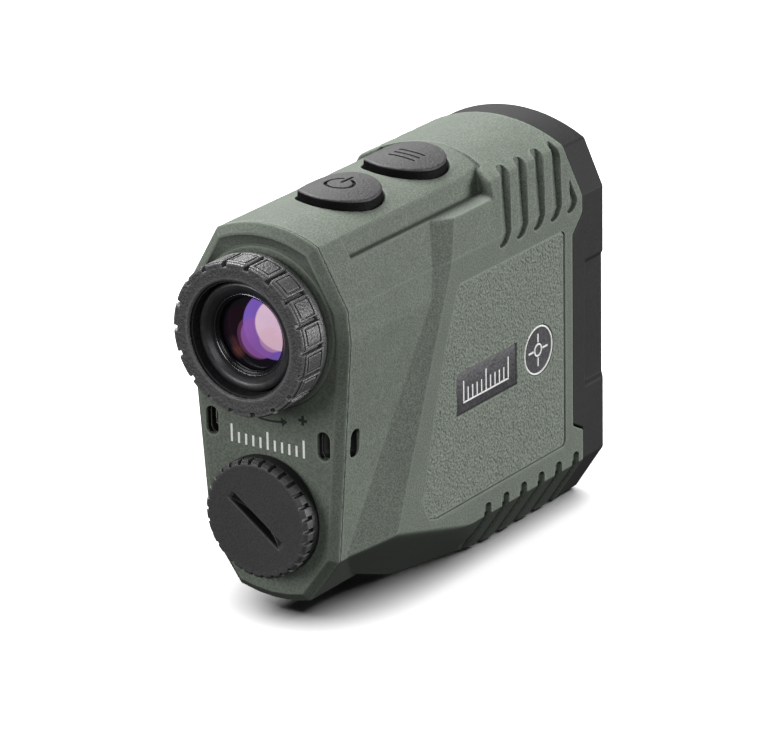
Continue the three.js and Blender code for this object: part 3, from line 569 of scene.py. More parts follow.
def key(yc, segs, width):
    def f(x, y, z):
        o = key_outline(x, y, yc)
        # arched like the pad, with a slight crown
        top = np.hypot(x, z - 49.4) - (26.7 + 1.65) + 0.0016 * ((y - yc) ** 2) + 0.05 * np.clip(-x - 2.0, 0, 9) ** 1.45 * 0.35
        g = smax(smax(o + 0.08 * np.clip(z - 74.6, 0, 4), top, 0.5), 73.7 - z, 0.2)
        stem = np.maximum(np.hypot(x, y - yc) - 2.3, slab(z, 70.9, 74.2))
        g = np.minimum(g, stem)
        i = np.nonzero((z > 75) & (o < -0.4))
        if len(i[0]):
            s = strokes(x[i], y[i], segs) - width
            g[i] = smax(g[i], -np.maximum(s, -(top[i] + 0.42)), 0.1)
        return g
    return f


# ------------------------------------------------------------------ turned pieces
def turned(name, profile, segments=96, x=0.0, z=0.0, smooth_angle=35, closed=None):
    """closed lathe body about an axis along Y; profile of (radius, y), corners rounded beforehand where wanted"""
    prof = [tuple(p) for p in profile]
    if closed is None:
        closed = not (prof[0][0] == 0 and prof[-1][0] == 0)
    P, F, rings = [], [], []
    for r, y in prof:
        if r == 0:
            rings.append([len(P)])
            P.append((x, y, z))
        else:
            rings.append(list(range(len(P), len(P) + segments)))
            for i in range(segments):
                a = 2 * math.pi * i / segments
                P.append((x + r * math.cos(a), y, z + r * math.sin(a)))
    pairs = list(zip(rings[:-1], rings[1:])) + ([(rings[-1], rings[0])] if closed else [])
    for A, B in pairs:
        for i in range(segments):
            j = (i + 1) % segments
            if len(A) == 1 and len(B) == 1:
                continue
            if len(A) == 1:
                F.append((A[0], B[j], B[i]))
            elif len(B) == 1:
                F.append((A[i], A[j], B[0]))
            else:
                F.append((A[i], A[j], B[j], B[i]))
    me = bpy.data.meshes.new(name)
    me.from_pydata([tuple(p) for p in place(P)], [], F)
    me.update()
    ob = bpy.data.objects.new(name, me)
    bpy.context.scene.collection.objects.link(ob)
    outward(ob)
    finish_smooth(ob, smooth_angle)
    return ob


def outward(ob):
    import bmesh
    bm = bmesh.new()
    bm.from_mesh(ob.data)
    bmesh.ops.recalc_face_normals(bm, faces=bm.faces)
    if bm.calc_volume(signed=True) < 0:
        bmesh.ops.reverse_faces(bm, faces=bm.faces)
    bm.to_mesh(ob.data)
    bm.free()


def finish_smooth(ob, angle):
    me = ob.data
    me.polygons.foreach_set("use_smooth", np.ones(len(me.polygons), bool))
    me.set_sharp_from_angle(angle=math.radians(angle))
    at = me.attributes.new("edge", "FLOAT", "POINT")


def rounded(profile, radius, steps=4):
    """rounds the inner corners of an open or closed profile by a small radius"""
    out = []
    n = len(profile)
    for i, p in enumerate(profile):
        a, b = profile[i - 1], profile[(i + 1) % n]
        if p[0] == 0 or (i in (0, n - 1) and profile[0][0] == 0):
            out.append(p)
            continue
        u, v = np.subtract(a, p), np.subtract(b, p)
        lu, lv = np.linalg.norm(u), np.linalg.norm(v)
        if lu < 1e-6 or lv < 1e-6:
            out.append(p)
            continue
        d = min(radius, lu * 0.45, lv * 0.45)
        s, e = np.add(p, u / lu * d), np.add(p, v / lv * d)
        for k in range(steps + 1):
            t = k / steps
            q = (1 - t) ** 2 * s + 2 * t * (1 - t) * np.array(p) + t * t * e
            out.append((max(float(q[0]), 0.0), float(q[1])))
    return out


def plate(name, outline, x0, x1, bevel=0.12, mirror=False):
    """closed slab with its outline in (y, z), thin along x, with bevelled edges"""
    import bmesh
    bm = bmesh.new()
    vs = [bm.verts.new((x0, y, z)) for y, z in outline]
    f = bm.faces.new(vs)
    ret = bmesh.ops.extrude_face_region(bm, geom=[f])
    for v in ret["geom"]:
        if isinstance(v, bmesh.types.BMVert):
            v.co.x = x1
    bmesh.ops.recalc_face_normals(bm, faces=bm.faces)
    if bevel:
        rim = [e for e in bm.edges if abs(e.verts[0].co.x - x1) < 1e-6 and abs(e.verts[1].co.x - x1) < 1e-6]
        bmesh.ops.bevel(bm, geom=rim, offset=bevel, segments=2, affect="EDGES", profile=0.5)
    if mirror:
        for v in bm.verts:
            v.co.x = -v.co.x
        bmesh.ops.reverse_faces(bm, faces=bm.faces)
    bmesh.ops.triangulate(bm, faces=[f for f in bm.faces if len(f.verts) > 4])
    me = bpy.data.meshes.new(name)
    for v in bm.verts:
        v.co = Vector(place(tuple(v.co)))
    bm.to_mesh(me)
    bm.free()
    ob = bpy.data.objects.new(name, me)
    bpy.context.scene.collection.objects.link(ob)
    outward(ob)
    finish_smooth(ob, 30)
    return ob


def prism_y(name, outlines, y0, y1):
    """closed slabs with outlines in (x, z), thin along y, joined as one piece"""
    import bmesh
    bm = bmesh.new()
    for o in outlines:
        vs = [bm.verts.new((x, y1, z)) for x, z in o]
        f = bm.faces.new(vs)
        ret = bmesh.ops.extrude_face_region(bm, geom=[f])
        for v in ret["geom"]:
            if isinstance(v, bmesh.types.BMVert):
                v.co.y = y0
    bmesh.ops.recalc_face_normals(bm, faces=bm.faces)
    bmesh.ops.triangulate(bm, faces=[f for f in bm.faces if len(f.verts) > 4])
    me = bpy.data.meshes.new(name)
    for v in bm.verts:
        v.co = Vector(place(tuple(v.co)))
    bm.to_mesh(me)
    bm.free()
    ob = bpy.data.objects.new(name, me)
    bpy.context.scene.collection.objects.link(ob)
    outward(ob)
    finish_smooth(ob, 30)
    return ob


# ------------------------------------------------------------------ materials, all from nodes
class Nodes:
    def __init__(self, name):
        self.m = bpy.data.materials.new(name)
        self.m.use_nodes = True
        self.t = self.m.node_tree
        self.t.nodes.clear()
        self.out = self.add("ShaderNodeOutputMaterial")
        self.bsdf = self.add("ShaderNodeBsdfPrincipled")
        self.link(self.bsdf.outputs[0], self.out.inputs["Surface"])
        self.co = self.add("ShaderNodeTexCoord").outputs["Object"]

    def add(self, kind, **kw):
        n = self.t.nodes.new(kind)
        for k, v in kw.items():
            setattr(n, k, v)
        return n

    def link(self, a, b):
        self.t.links.new(a, b)

    def set(self, **kw):
        for k, v in kw.items():
            self.bsdf.inputs[k.replace("_", " ")].default_value = v
        return self

    def noise(self, scale, detail=2.0, rough=0.5, stretch=None, distort=0.0):
        n = self.add("ShaderNodeTexNoise")
        n.inputs["Scale"].default_value = scale
        n.inputs["Detail"].default_value = detail
        n.inputs["Roughness"].default_value = rough
        n.inputs["Distortion"].default_value = distort
        src = self.co
        if stretch:
            mp = self.add("ShaderNodeMapping")
            mp.inputs["Scale"].default_value = stretch
            self.link(self.co, mp.inputs["Vector"])
            src = mp.outputs[0]
        self.link(src, n.inputs["Vector"])
        return n.outputs["Fac"]

    def cells(self, scale, feature="F1", rand=1.0):
        n = self.add("ShaderNodeTexVoronoi", feature=feature)
        n.inputs["Scale"].default_value = scale
        n.inputs["Randomness"].default_value = rand
        self.link(self.co, n.inputs["Vector"])
        return n.outputs["Distance"]

    def ramp(self, fac, stops, mode="LINEAR"):
        n = self.add("ShaderNodeValToRGB")
        n.color_ramp.interpolation = mode
        el = n.color_ramp.elements
        while len(el) < len(stops):
            el.new(0.5)
        for e, (p, c) in zip(el, stops):
            e.position = p
            e.color = c if len(c) == 4 else (*c, 1.0)
        self.link(fac, n.inputs["Fac"])
        return n.outputs["Color"]

    def range(self, fac, a, b, lo, hi):
        n = self.add("ShaderNodeMapRange")
        for k, v in (("From Min", a), ("From Max", b), ("To Min", lo), ("To Max", hi)):
            n.inputs[k].default_value = v
        self.link(fac, n.inputs["Value"])
        return n.outputs["Result"]

    def math(self, op, a, b):
        n = self.add("ShaderNodeMath", operation=op)
        for s, v in ((n.inputs[0], a), (n.inputs[1], b)):
            if hasattr(v, "node"):
                self.link(v, s)
            else:
                s.default_value = v
        return n.outputs[0]

    def mix(self, fac, a, b, blend="MIX"):
        n = self.add("ShaderNodeMix", data_type="RGBA", blend_type=blend)
        for s, v in ((n.inputs[0], fac), (n.inputs[6], a), (n.inputs[7], b)):
            if hasattr(v, "node"):
                self.link(v, s)
            else:
                s.default_value = v if not isinstance(v, tuple) or len(v) == 4 else (*v, 1.0)
        return n.outputs[2]

    def attr(self, name):
        n = self.add("ShaderNodeAttribute")
        n.attribute_name = name
        return n.outputs["Fac"]

    def bump(self, height, strength, distance, chain=None):
        n = self.add("ShaderNodeBump")
        n.inputs["Strength"].default_value = strength
        n.inputs["Distance"].default_value = distance
        self.link(height, n.inputs["Height"])
        if chain is not None:
            self.link(chain, n.inputs["Normal"])
        return n.outputs["Normal"]

    def color(self, c):
        self.link(c, self.bsdf.inputs["Base Color"])
        return self

    def rough(self, r):
        self.link(r, self.bsdf.inputs["Roughness"])
        return self

    def normal(self, n):
        self.link(n, self.bsdf.inputs["Normal"])
        return self


def rgb(r, g, b, k=1.0):
    """sRGB bytes to linear"""
    f = lambda v: (v / 255 / 12.92 if v / 255 <= 0.04045 else ((v / 255 + 0.055) / 1.055) ** 2.4) * k
    return (f(r), f(g), f(b), 1.0)


def moulded_rubber(name, base, dark, light, grain=3300, coarse=0, rough=(0.62, 0.8), bump=0.35, wear_and_highlight=0.5,
                   speck=0.45, spec=0.35, shade_boxes=None, underside_shade=0.0, core=None):
    """matt moulded surface: fine spark-eroded grain, faint mottling, paler edges that are part rubbed wear and part
    painted highlight, and painted shade in corners;
    the box list holds boxes (x half width, y0, y1, z0, z1, colour) in the drawing frame that are painted dark as
    shade, the underside weight paints shade on faces that look down, core (z0, r, colour) paints shade on all that
    lies within r of the line x = 0, z = z0"""
    n = Nodes(name)
    fine = n.noise(grain, 2.0, 0.6)
    mott = n.noise(150, 3.0, 0.55)
    patch = n.noise(38, 2.0, 0.5)
    c = n.mix(n.range(fine, 0.36, 0.64, 0.0, 1.0), dark, light)
    c = n.mix(1.0 - speck, c, base)
    c = n.mix(n.range(mott, 0.35, 0.7, 0.0, 0.22), c, dark)
    c = n.mix(n.range(patch, 0.4, 0.75, 0.0, 0.12), c, light)
    e = n.attr("edge")
    # paler convex edges: part rubbed wear, part painted highlight
    c = n.mix(n.math("MULTIPLY", n.range(e, 0.05, 0.6, 0.0, wear_and_highlight), n.range(mott, 0.3, 0.6, 0.4, 1.0)), c, light)
    # painted shade: corners and creases are darkened
    c = n.mix(n.range(e, -0.05, -0.6, 0.0, 0.3), c, dark)
    # painted shade: faces that look down are darkened towards near black
    if underside_shade:
        g = n.add("ShaderNodeSeparateXYZ")
        n.link(n.add("ShaderNodeNewGeometry").outputs["Normal"], g.inputs[0])
        c = n.mix(n.range(g.outputs["Z"], -0.1, -0.55, 0.0, underside_shade), c, (0.02, 0.023, 0.02, 1))
    # painted shade: each box is painted its near-black colour where shade falls in slots and hollows
    for hx, y0, y1, z0, z1, tone in shade_boxes or ():
        g = n.add("ShaderNodeSeparateXYZ")
        n.link(n.co, g.inputs[0])
        k = n.math("LESS_THAN", n.math("ABSOLUTE", g.outputs["X"], 0.0), hx * MM)
        for o, lo, hi, off in (("Y", y0, y1, OFF_Y), ("Z", z0, z1, OFF_Z)):
            k = n.math("MULTIPLY", k, n.math("GREATER_THAN", g.outputs[o], (lo + off) * MM))
            k = n.math("MULTIPLY", k, n.math("LESS_THAN", g.outputs[o], (hi + off) * MM))
        c = n.mix(k, c, tone)
    # painted shade: all within r of that line, the key's sides below its top, is painted near black and loses its
    # sheen
    if core:
        z0, r, tone = core
        g = n.add("ShaderNodeSeparateXYZ")
        n.link(n.co, g.inputs[0])
        h = n.math("SUBTRACT", g.outputs["Z"], (z0 + OFF_Z) * MM)
        d = n.math("SQRT", n.math("ADD", n.math("MULTIPLY", g.outputs["X"], g.outputs["X"]), n.math("MULTIPLY", h, h)), 0.0)
        c = n.mix(n.range(d, (r - 0.07) * MM, (r + 0.07) * MM, 1.0, 0.0), c, tone)
        n.link(n.range(d, (r - 0.07) * MM, (r + 0.07) * MM, 0.05, spec), n.bsdf.inputs["Specular IOR Level"])
    n.color(c)
    n.rough(n.math("ADD", n.range(fine, 0.3, 0.7, rough[0], rough[1]), n.range(patch, 0.3, 0.7, -0.03, 0.03)))
    h = n.bump(fine, bump, 0.00006)
    if coarse:
        h = n.bump(n.noise(coarse, 1.0, 0.5), bump, 0.00012, h)
    n.normal(h)
    n.set(Specular_IOR_Level=spec)
    return n.m


def machined(name, base, light, rough=(0.25, 0.42), metal=1.0, axis="y", spec=0.5):
    """turned or drawn metal and satin hard plastic: fine tool lines, faint smudges"""
    n = Nodes(name)
    st = {"y": (1, 14, 1), "x": (14, 1, 1), "z": (1, 1, 14)}[axis]
    lines = n.noise(900, 2.0, 0.5, stretch=st)
    smudge = n.noise(120, 3.0, 0.6)
    n.color(n.mix(n.range(smudge, 0.35, 0.7, 0.0, 0.5), base, light))
    n.rough(n.math("ADD", n.range(lines, 0.35, 0.65, rough[0], rough[1]), n.range(smudge, 0.4, 0.7, 0.0, 0.06)))
    n.normal(n.bump(lines, 0.12, 0.00003))
    n.set(Metallic=metal, Specular_IOR_Level=spec)
    return n.m


def glassy(name, tint, rough=0.02):
    """coated optical glass for pieces seen only edge-on or through others"""
    n = Nodes(name)
    film = n.noise(260, 1.0, 0.4)
    n.color(n.mix(n.range(film, 0.35, 0.65, 0.0, 1.0), tint, tuple(min(1, c * 1.25) for c in tint[:3]) + (1,)))
    n.rough(n.range(n.noise(500, 2.0, 0.5), 0.3, 0.7, rough, rough + 0.03))
    n.set(Specular_IOR_Level=0.6, Coat_Weight=0.6, Coat_Roughness=0.03)
    return n.m


GREEN = rgb(91, 98, 89)
# painted shade: near black for the inside of the lanyard passages
SHADE_BLACK = (0.006, 0.006, 0.006, 1)
SLOT_SHADE = [(16.35, 1.9, 8.6, 31.4, 37.7, SHADE_BLACK)]
# armour and cover: painted shade on faces that look down
mat_armour = moulded_rubber("armour_green", GREEN, rgb(66, 73, 65), rgb(122, 130, 120), grain=3000, bump=0.8, speck=0.6, spec=0.25, shade_boxes=SLOT_SHADE, underside_shade=0.85)
# cover: painted shade inside its lanyard passages
mat_cover = moulded_rubber("cover_green", rgb(90, 97, 88), rgb(70, 77, 69), rgb(117, 125, 115), grain=2900, bump=0.45, wear_and_highlight=0.65, speck=0.5, spec=0.25, shade_boxes=[(15.7, 0.64, 8.6, 31.9, 37.6, SHADE_BLACK)], underside_shade=0.6)
mat_panel = moulded_rubber("panel_green", rgb(101, 108, 99), rgb(75, 82, 74), rgb(131, 139, 129), grain=2400, coarse=1500, bump=0.8, speck=0.6, spec=0.3)
mat_bezel = moulded_rubber("bezel_black", rgb(38, 38, 39), rgb(30, 30, 31), rgb(60, 60, 61), grain=3300, rough=(0.55, 0.7), bump=0.35, wear_and_highlight=0.3, spec=0.14)
mat_ring = moulded_rubber("ring_rubber", rgb(60, 60, 61), rgb(38, 38, 39), rgb(102, 102, 103), grain=4200, coarse=2000, rough=(0.33, 0.58), bump=1.0, wear_and_highlight=0.6, speck=0.35, spec=0.5)
# keys: painted shade on their sides
mat_key = moulded_rubber("key_rubber", rgb(42, 41, 42), rgb(22, 21, 22), rgb(82, 80, 82), grain=3300, coarse=1700, rough=(0.5, 0.7), bump=0.8, wear_and_highlight=0.3, speck=0.6, spec=0.3,
                         core=(49.4, 28.0, (0.004, 0.004, 0.004, 1)))
# cap: painted shade on the smooth skirt behind the teeth and in the coin slot
mat_cap = moulded_rubber("cap_black", rgb(56, 56, 57), rgb(42, 42, 43), rgb(78, 78, 79), grain=3600, rough=(0.42, 0.58), bump=0.25, wear_and_highlight=0.5,
                         shade_boxes=[(13.0, -2.45, 4.7, 0.0, 40.0, (0.007, 0.007, 0.008, 1)), (7.5, -4.2, 0.0, CAP_Z - 7.5, CAP_Z + 7.5, (0.007, 0.007, 0.008, 1))])
mat_seal = moulded_rubber("seal_rubber", rgb(30, 30, 31), rgb(22, 22, 23), rgb(44, 44, 45), grain=2400, rough=(0.5, 0.7), bump=0.2)
mat_plate = moulded_rubber("plate_grey", rgb(54, 53, 56), rgb(34, 33, 36), rgb(86, 84, 88), grain=2200, coarse=1400, rough=(0.42, 0.58), bump=0.7, wear_and_highlight=0.3, speck=0.6)
mat_print = moulded_rubber("print_white", rgb(222, 223, 221), rgb(205, 207, 205), rgb(236, 237, 235), grain=2400, rough=(0.4, 0.55), bump=0.1)
mat_mark = moulded_rubber("mark_black", rgb(34, 37, 34), rgb(26, 28, 26), rgb(46, 50, 46), grain=2400, rough=(0.6, 0.75), bump=0.1)
mat_alloy = machined("black_alloy", rgb(34, 34, 36), rgb(58, 58, 60), (0.24, 0.36), 0.6)
mat_satin = machined("satin_black", rgb(44, 44, 46), rgb(66, 66, 68), (0.3, 0.42), 0.35)
mat_gloss = machined("gloss_black", rgb(16, 16, 17), rgb(26, 26, 28), (0.12, 0.2), 0.0)
mat_line = machined("bright_edge", rgb(120, 120, 124), rgb(150, 150, 154), (0.16, 0.24), 0.9)
mat_steel = machined("screw_steel", rgb(150, 152, 155), rgb(186, 188, 190), (0.22, 0.36), 1.0)
mat_brass = machined("contact_brass", rgb(190, 150, 84), rgb(214, 182, 120), (0.2, 0.34), 1.0)
mat_black = moulded_rubber("inner_black", rgb(30, 30, 32), rgb(22, 22, 24), rgb(44, 44, 46), grain=1800, rough=(0.6, 0.8), bump=0.2)
mat_switch = moulded_rubber("switch_grey", rgb(62, 64, 68), rgb(50, 52, 55), rgb(84, 86, 90), grain=1800, rough=(0.4, 0.55), bump=0.15)
mat_prism = glassy("optical_glass", (0.62, 0.7, 0.72, 1))
mat_display = glassy("display_glass", (0.24, 0.3, 0.28, 1), 0.06)


def board_material():
    n = Nodes("circuit_board")
    tracks = n.add("ShaderNodeTexBrick")
    tracks.inputs["Scale"].default_value = 420
    tracks.inputs["Mortar Size"].default_value = 0.03
    tracks.inputs["Color1"].default_value = (0.012, 0.09, 0.035, 1)
    tracks.inputs["Color2"].default_value = (0.010, 0.075, 0.03, 1)
    tracks.inputs["Mortar"].default_value = (0.03, 0.17, 0.07, 1)
    n.link(n.co, tracks.inputs["Vector"])
    dust = n.noise(700, 3.0, 0.6)
    n.color(n.mix(n.range(dust, 0.5, 0.75, 0.0, 0.3), tracks.outputs["Color"], (0.05, 0.12, 0.06, 1)))
    n.rough(n.range(dust, 0.3, 0.7, 0.28, 0.45))
    n.normal(n.bump(tracks.outputs["Fac"], 0.3, 0.00004))
    return n.m


def cell_material():
    n = Nodes("cell_jacket")
    band = n.add("ShaderNodeTexWave", wave_type="BANDS", bands_direction="Y")
    band.inputs["Scale"].default_value = 26
    band.inputs["Distortion"].default_value = 0.4
    n.link(n.co, band.inputs["Vector"])
    n.color(n.ramp(band.outputs["Fac"], [(0.0, rgb(60, 64, 70)), (0.45, rgb(70, 74, 80)), (0.55, rgb(150, 152, 156)), (1.0, rgb(164, 166, 168))]))
    n.rough(n.range(n.noise(600, 2.0, 0.5), 0.3, 0.7, 0.22, 0.36))
    n.normal(n.bump(n.noise(300, 2.0, 0.5), 0.1, 0.00004))
    return n.m


mat_board = board_material()
mat_cell = cell_material()


def lens_material(name, centre, rings, base, rough=0.03, coat=1.0):
    """Coated lens whose reflections are painted into its base colour as overlapping soft round discs; each ring is
    (dx, dz, radius mm, softness, colour, amount), laid over a near-black base, in the plane across the axis."""
    n = Nodes(name)
    sep = n.add("ShaderNodeSeparateXYZ")
    n.link(n.co, sep.inputs[0])
    c = base
    wob = n.noise(180, 2.0, 0.5)
    first = True
    for dx, dz, r, soft, col, amount in rings:
        u = n.math("SUBTRACT", sep.outputs["X"], (centre[0] + dx) * MM)
        v = n.math("SUBTRACT", sep.outputs["Z"], (centre[1] + dz + OFF_Z) * MM)
        d = n.math("SQRT", n.math("ADD", n.math("MULTIPLY", u, u), n.math("MULTIPLY", v, v)), 0.0)
        k = n.range(d, (r + soft) * MM, (r - soft) * MM, 0.0, amount)
        c = n.mix(k, c, col)
    c = n.mix(n.range(wob, 0.35, 0.65, 0.0, 0.12), c, (0.02, 0.012, 0.03, 1))
    n.color(c)
    n.rough(n.range(n.noise(900, 2.0, 0.5), 0.3, 0.7, rough, rough + 0.03))
    n.set(Specular_IOR_Level=0.7, Coat_Weight=coat, Coat_Roughness=0.02, Coat_Tint=(1.0, 1.0, 1.0, 1.0))
    return n.m


def paint(ob, material):
    ob.data.materials.clear()
    ob.data.materials.append(material)
    for p in ob.data.polygons:
        p.material_index = 0
    return ob


def keep_cad(name, material):
    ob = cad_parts[name]
    for i in range(max(1, len(ob.data.materials))):
        if len(ob.data.materials):
            ob.material_slots[i].link = "OBJECT"
            ob.material_slots[i].material = material
        else:
            ob.data.materials.append(material)
    return ob


def piece(ob, material, body, slot, *nodes):
    paint(ob, material)
    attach(ob, body)
    if nodes:
        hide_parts(*nodes)
    return ob


# ------------------------------------------------------------------ build
import time
_t = time.time()


def tick(label):
    global _t
    print("BUILD %-18s %.1fs" % (label, time.time() - _t))
    _t = time.time()


ob = moulded("armour_skin", armour, (-21.2, 0.8, -4.8), (21.2, 80.6, 77.6), 0.3, 188000)
piece(ob, mat_armour, "housing", "armour", "armour_shell")
tick("armour")
ob = moulded("rear_cover_skin", cover, (-19.8, -1.4, -0.8), (19.8, 4.4, 77.4), 0.24, 120000)
piece(ob, mat_cover, "housing", "armour", "rear_cover")
tick("cover")
ob = moulded("objective_bezel_skin", bezel, (-21, 74.9, -4.6), (21, 89.2, 77), 0.3, 110000)
piece(ob, mat_bezel, "housing", "bezel_black", "objective_bezel")
tick("bezel")
ob = moulded("side_panel_right", panel_insert, (18.6, 22.2, 11.2), (20.8, 74.0, 58.4), 0.17, 150000)
piece(ob, mat_panel, "housing", "armour")
mirror = bpy.data.meshes.new("side_panel_left")
src = ob.data
P = np.empty(len(src.vertices) * 3)
src.vertices.foreach_get("co", P)
P = P.reshape(-1, 3) * np.array([-1, 1, 1])
mirror.from_pydata(P.tolist(), [], [tuple(reversed(p.vertices)) for p in src.polygons])
mirror.update()
mirror.polygons.foreach_set("use_smooth", np.ones(len(mirror.polygons), bool))
nrm = np.empty(len(src.vertices) * 3)
ev = np.empty(len(src.vertices), np.float32)
src.attributes["edge"].data.foreach_get("value", ev)
mirror.attributes.new("edge", "FLOAT", "POINT").data.foreach_set("value", ev)
ob = bpy.data.objects.new("side_panel_left", mirror)
bpy.context.scene.collection.objects.link(ob)
piece(ob, mat_panel, "housing", "armour")
tick("panels")
ob = moulded("dioptre_ring_skin", dioptre, (-16, -9.4, 40), (16, -0.2, 72), 0.17, 130000)
piece(ob, mat_ring, "dioptre_ring", "grip_rubber", "dioptre_grip")
tick("dioptre")
ob = moulded("battery_cap_skin", cap, (-12.8, -5.4, 5.8), (12.8, 5.3, 31.2), 0.17, 110000)
piece(ob, mat_cap, "battery_lid", "cap_black", "battery_cap")
tick("cap")
for name, yc, segs, w in (("power", KEY_Y[0], POWER, 0.33), ("mode", KEY_Y[1], BARS, 0.31)):
    ob = moulded(name + "_key_skin", key(yc, segs, w), (-8.2, yc - 10, 70.0), (10, yc + 10, 79.0), 0.13, 60000)
    piece(ob, mat_key, name + "_button", "key_rubber", name + "_key")
tick("keys")

# sliding ocular: rounded cell, two fine retaining rings, blackened cone and the eye lens with painted reflections
ob = turned("ocular_cell_skin", rounded([(8.05, -4.9), (8.35, -5.5), (9.3, -6.3), (10.2, -6.45), (10.75, -6.0), (10.8, -4.6), (10.8, 11.6), (9.4, 11.6), (9.4, 6.1), (8.2, 6.0), (8.2, 0.1), (8.6, 0.0), (8.6, -3.4), (8.05, -3.45)], 0.3), 128, 0, EYE_Z)
piece(ob, mat_satin, "ocular", "black_alloy", "ocular_cell")
ob = turned("eye_lens_ring_skin", rounded([(7.3, -4.4), (7.5, -4.62), (7.75, -4.62), (7.85, -4.86), (7.99, -4.86), (8.0, -3.5), (7.3, -3.85)], 0.08), 128, 0, EYE_Z)
piece(ob, mat_gloss, "ocular", "black_alloy", "eye_lens_ring")
ob = turned("eye_lens_edge_line", rounded([(7.86, -4.98), (7.95, -5.06), (8.04, -5.0), (8.03, -4.9), (7.87, -4.9)], 0.03), 128, 0, EYE_Z)
piece(ob, mat_line, "ocular", "black_alloy")
cap_r = [(8.0 * math.sin(t), -4.4 + 1.05 * (math.sin(t) ** 2)) for t in np.linspace(0, math.pi / 2, 26)]
prof = [(0, -4.4)] + cap_r[1:] + [(8.68, -3.05), (8.68, -0.3), (0, -0.3)]
ob = turned("eye_lens_skin", prof, 128, 0, EYE_Z, smooth_angle=50)
# painted reflections on the eye lens: a dark patch, violet and pinkish-white discs and small reddish glints
LENS_REFLECTIONS = [
    (-1.6, 0.6, 4.6, 0.25, (0.012, 0.004, 0.008, 1), 1.0),
    (1.0, -0.6, 4.3, 0.10, (0.14, 0.045, 0.12, 1), 0.75),
    (4.9, 2.3, 6.7, 0.10, (0.25, 0.135, 0.62, 1), 0.95),
    (1.6, -0.6, 4.0, 0.10, (0.36, 0.13, 0.50, 1), 0.75),
    (6.1, 2.7, 5.1, 0.16, (0.98, 0.70, 0.88, 1), 0.95),
    (4.4, -0.4, 2.5, 0.12, (0.98, 0.58, 0.68, 1), 0.4),
    (-3.4, -4.0, 1.2, 0.7, (0.20, 0.06, 0.05, 1), 0.5),
    (-4.2, -2.2, 0.8, 0.5, (0.14, 0.04, 0.06, 1), 0.4),
]
piece(ob, lens_material("eye_lens_coat", (0, EYE_Z), LENS_REFLECTIONS, (0.006, 0.005, 0.008, 1)), "ocular", "coated_glass", "eye_lens")

# front window lenses and rings
for nm, prof, rz, seg in (
        ("objective_lens", [(0, 82.6), (5, 82.5), (10.1, 82.3), (10.1, 83.55)] + [(10.1 * math.cos(t), 83.55 + 1.3 * math.sin(t)) for t in np.linspace(0.08, math.pi / 2 - 0.06, 18)] + [(0, 84.85)], EYE_Z, 96),
        ("receiver_lens", [(0, 80.4), (8.6, 81.4), (8.6, 83.0)] + [(8.6 * math.cos(t), 83.0 + 1.7 * math.sin(t)) for t in np.linspace(0.08, math.pi / 2 - 0.06, 16)] + [(0, 84.7)], 20.0, 96),
        ("emitter_lens", [(0, 82.4), (3.4, 82.4), (3.4, 83.5)] + [(3.4 * math.cos(t), 83.5 + 1.1 * math.sin(t)) for t in np.linspace(0.1, math.pi / 2 - 0.06, 12)] + [(0, 84.6)], 38.6, 64)):
    ob = turned(nm + "_skin", prof, seg, 0, rz, smooth_angle=50)
    # painted reflections on the front lenses: soft coloured discs
    tint = {"objective_lens": [(2.5, 3.0, 6.5, 0.5, (0.05, 0.14, 0.09, 1), 0.8), (-3.5, -3.0, 4.0, 1.4, (0.13, 0.04, 0.16, 1), 0.7)],
            "receiver_lens": [(2.0, 2.4, 5.2, 0.6, (0.11, 0.03, 0.05, 1), 0.8), (-3.0, -2.0, 3.0, 1.2, (0.04, 0.08, 0.12, 1), 0.7)],
            "emitter_lens": [(0.7, 0.8, 2.0, 0.4, (0.10, 0.02, 0.03, 1), 0.8)]}[nm]
    piece(ob, lens_material(nm + "_coat", (0, rz), tint, (0.008, 0.008, 0.011, 1)), "housing", "coated_glass", nm)
ob = turned("objective_ring_skin", rounded([(9.3, 85.9), (11.5, 85.9), (11.5, 87.0), (11.2, 87.2), (10.3, 87.2), (9.5, 86.5)], 0.15), 128, 0, EYE_Z)
piece(ob, mat_alloy, "housing", "black_alloy", "objective_ring")
ob = turned("receiver_ring_skin", rounded([(8.3, 85.0), (9.9, 85.0), (9.9, 86.6), (9.6, 86.8), (8.9, 86.8), (8.4, 85.8)], 0.15), 112, 0, 20.0)
piece(ob, mat_alloy, "housing", "black_alloy", "receiver_ring")
ob = turned("emitter_tube_skin", rounded([(2.6, 62.0), (4.2, 62.0), (4.2, 85.4), (3.75, 85.4), (3.75, 82.0), (2.6, 81.0)], 0.15), 72, 0, 38.6)
piece(ob, mat_alloy, "housing", "black_alloy", "emitter_tube")
ob = turned("objective_tube_skin", rounded([(8.4, 66.4), (9.2, 66.4), (11.2, 71.0), (11.2, 85.6), (10.4, 85.6), (10.4, 82.0), (9.4, 81.6), (9.4, 71.6)], 0.2), 96, 0, EYE_Z)
piece(ob, mat_alloy, "housing", "black_alloy", "objective_tube")


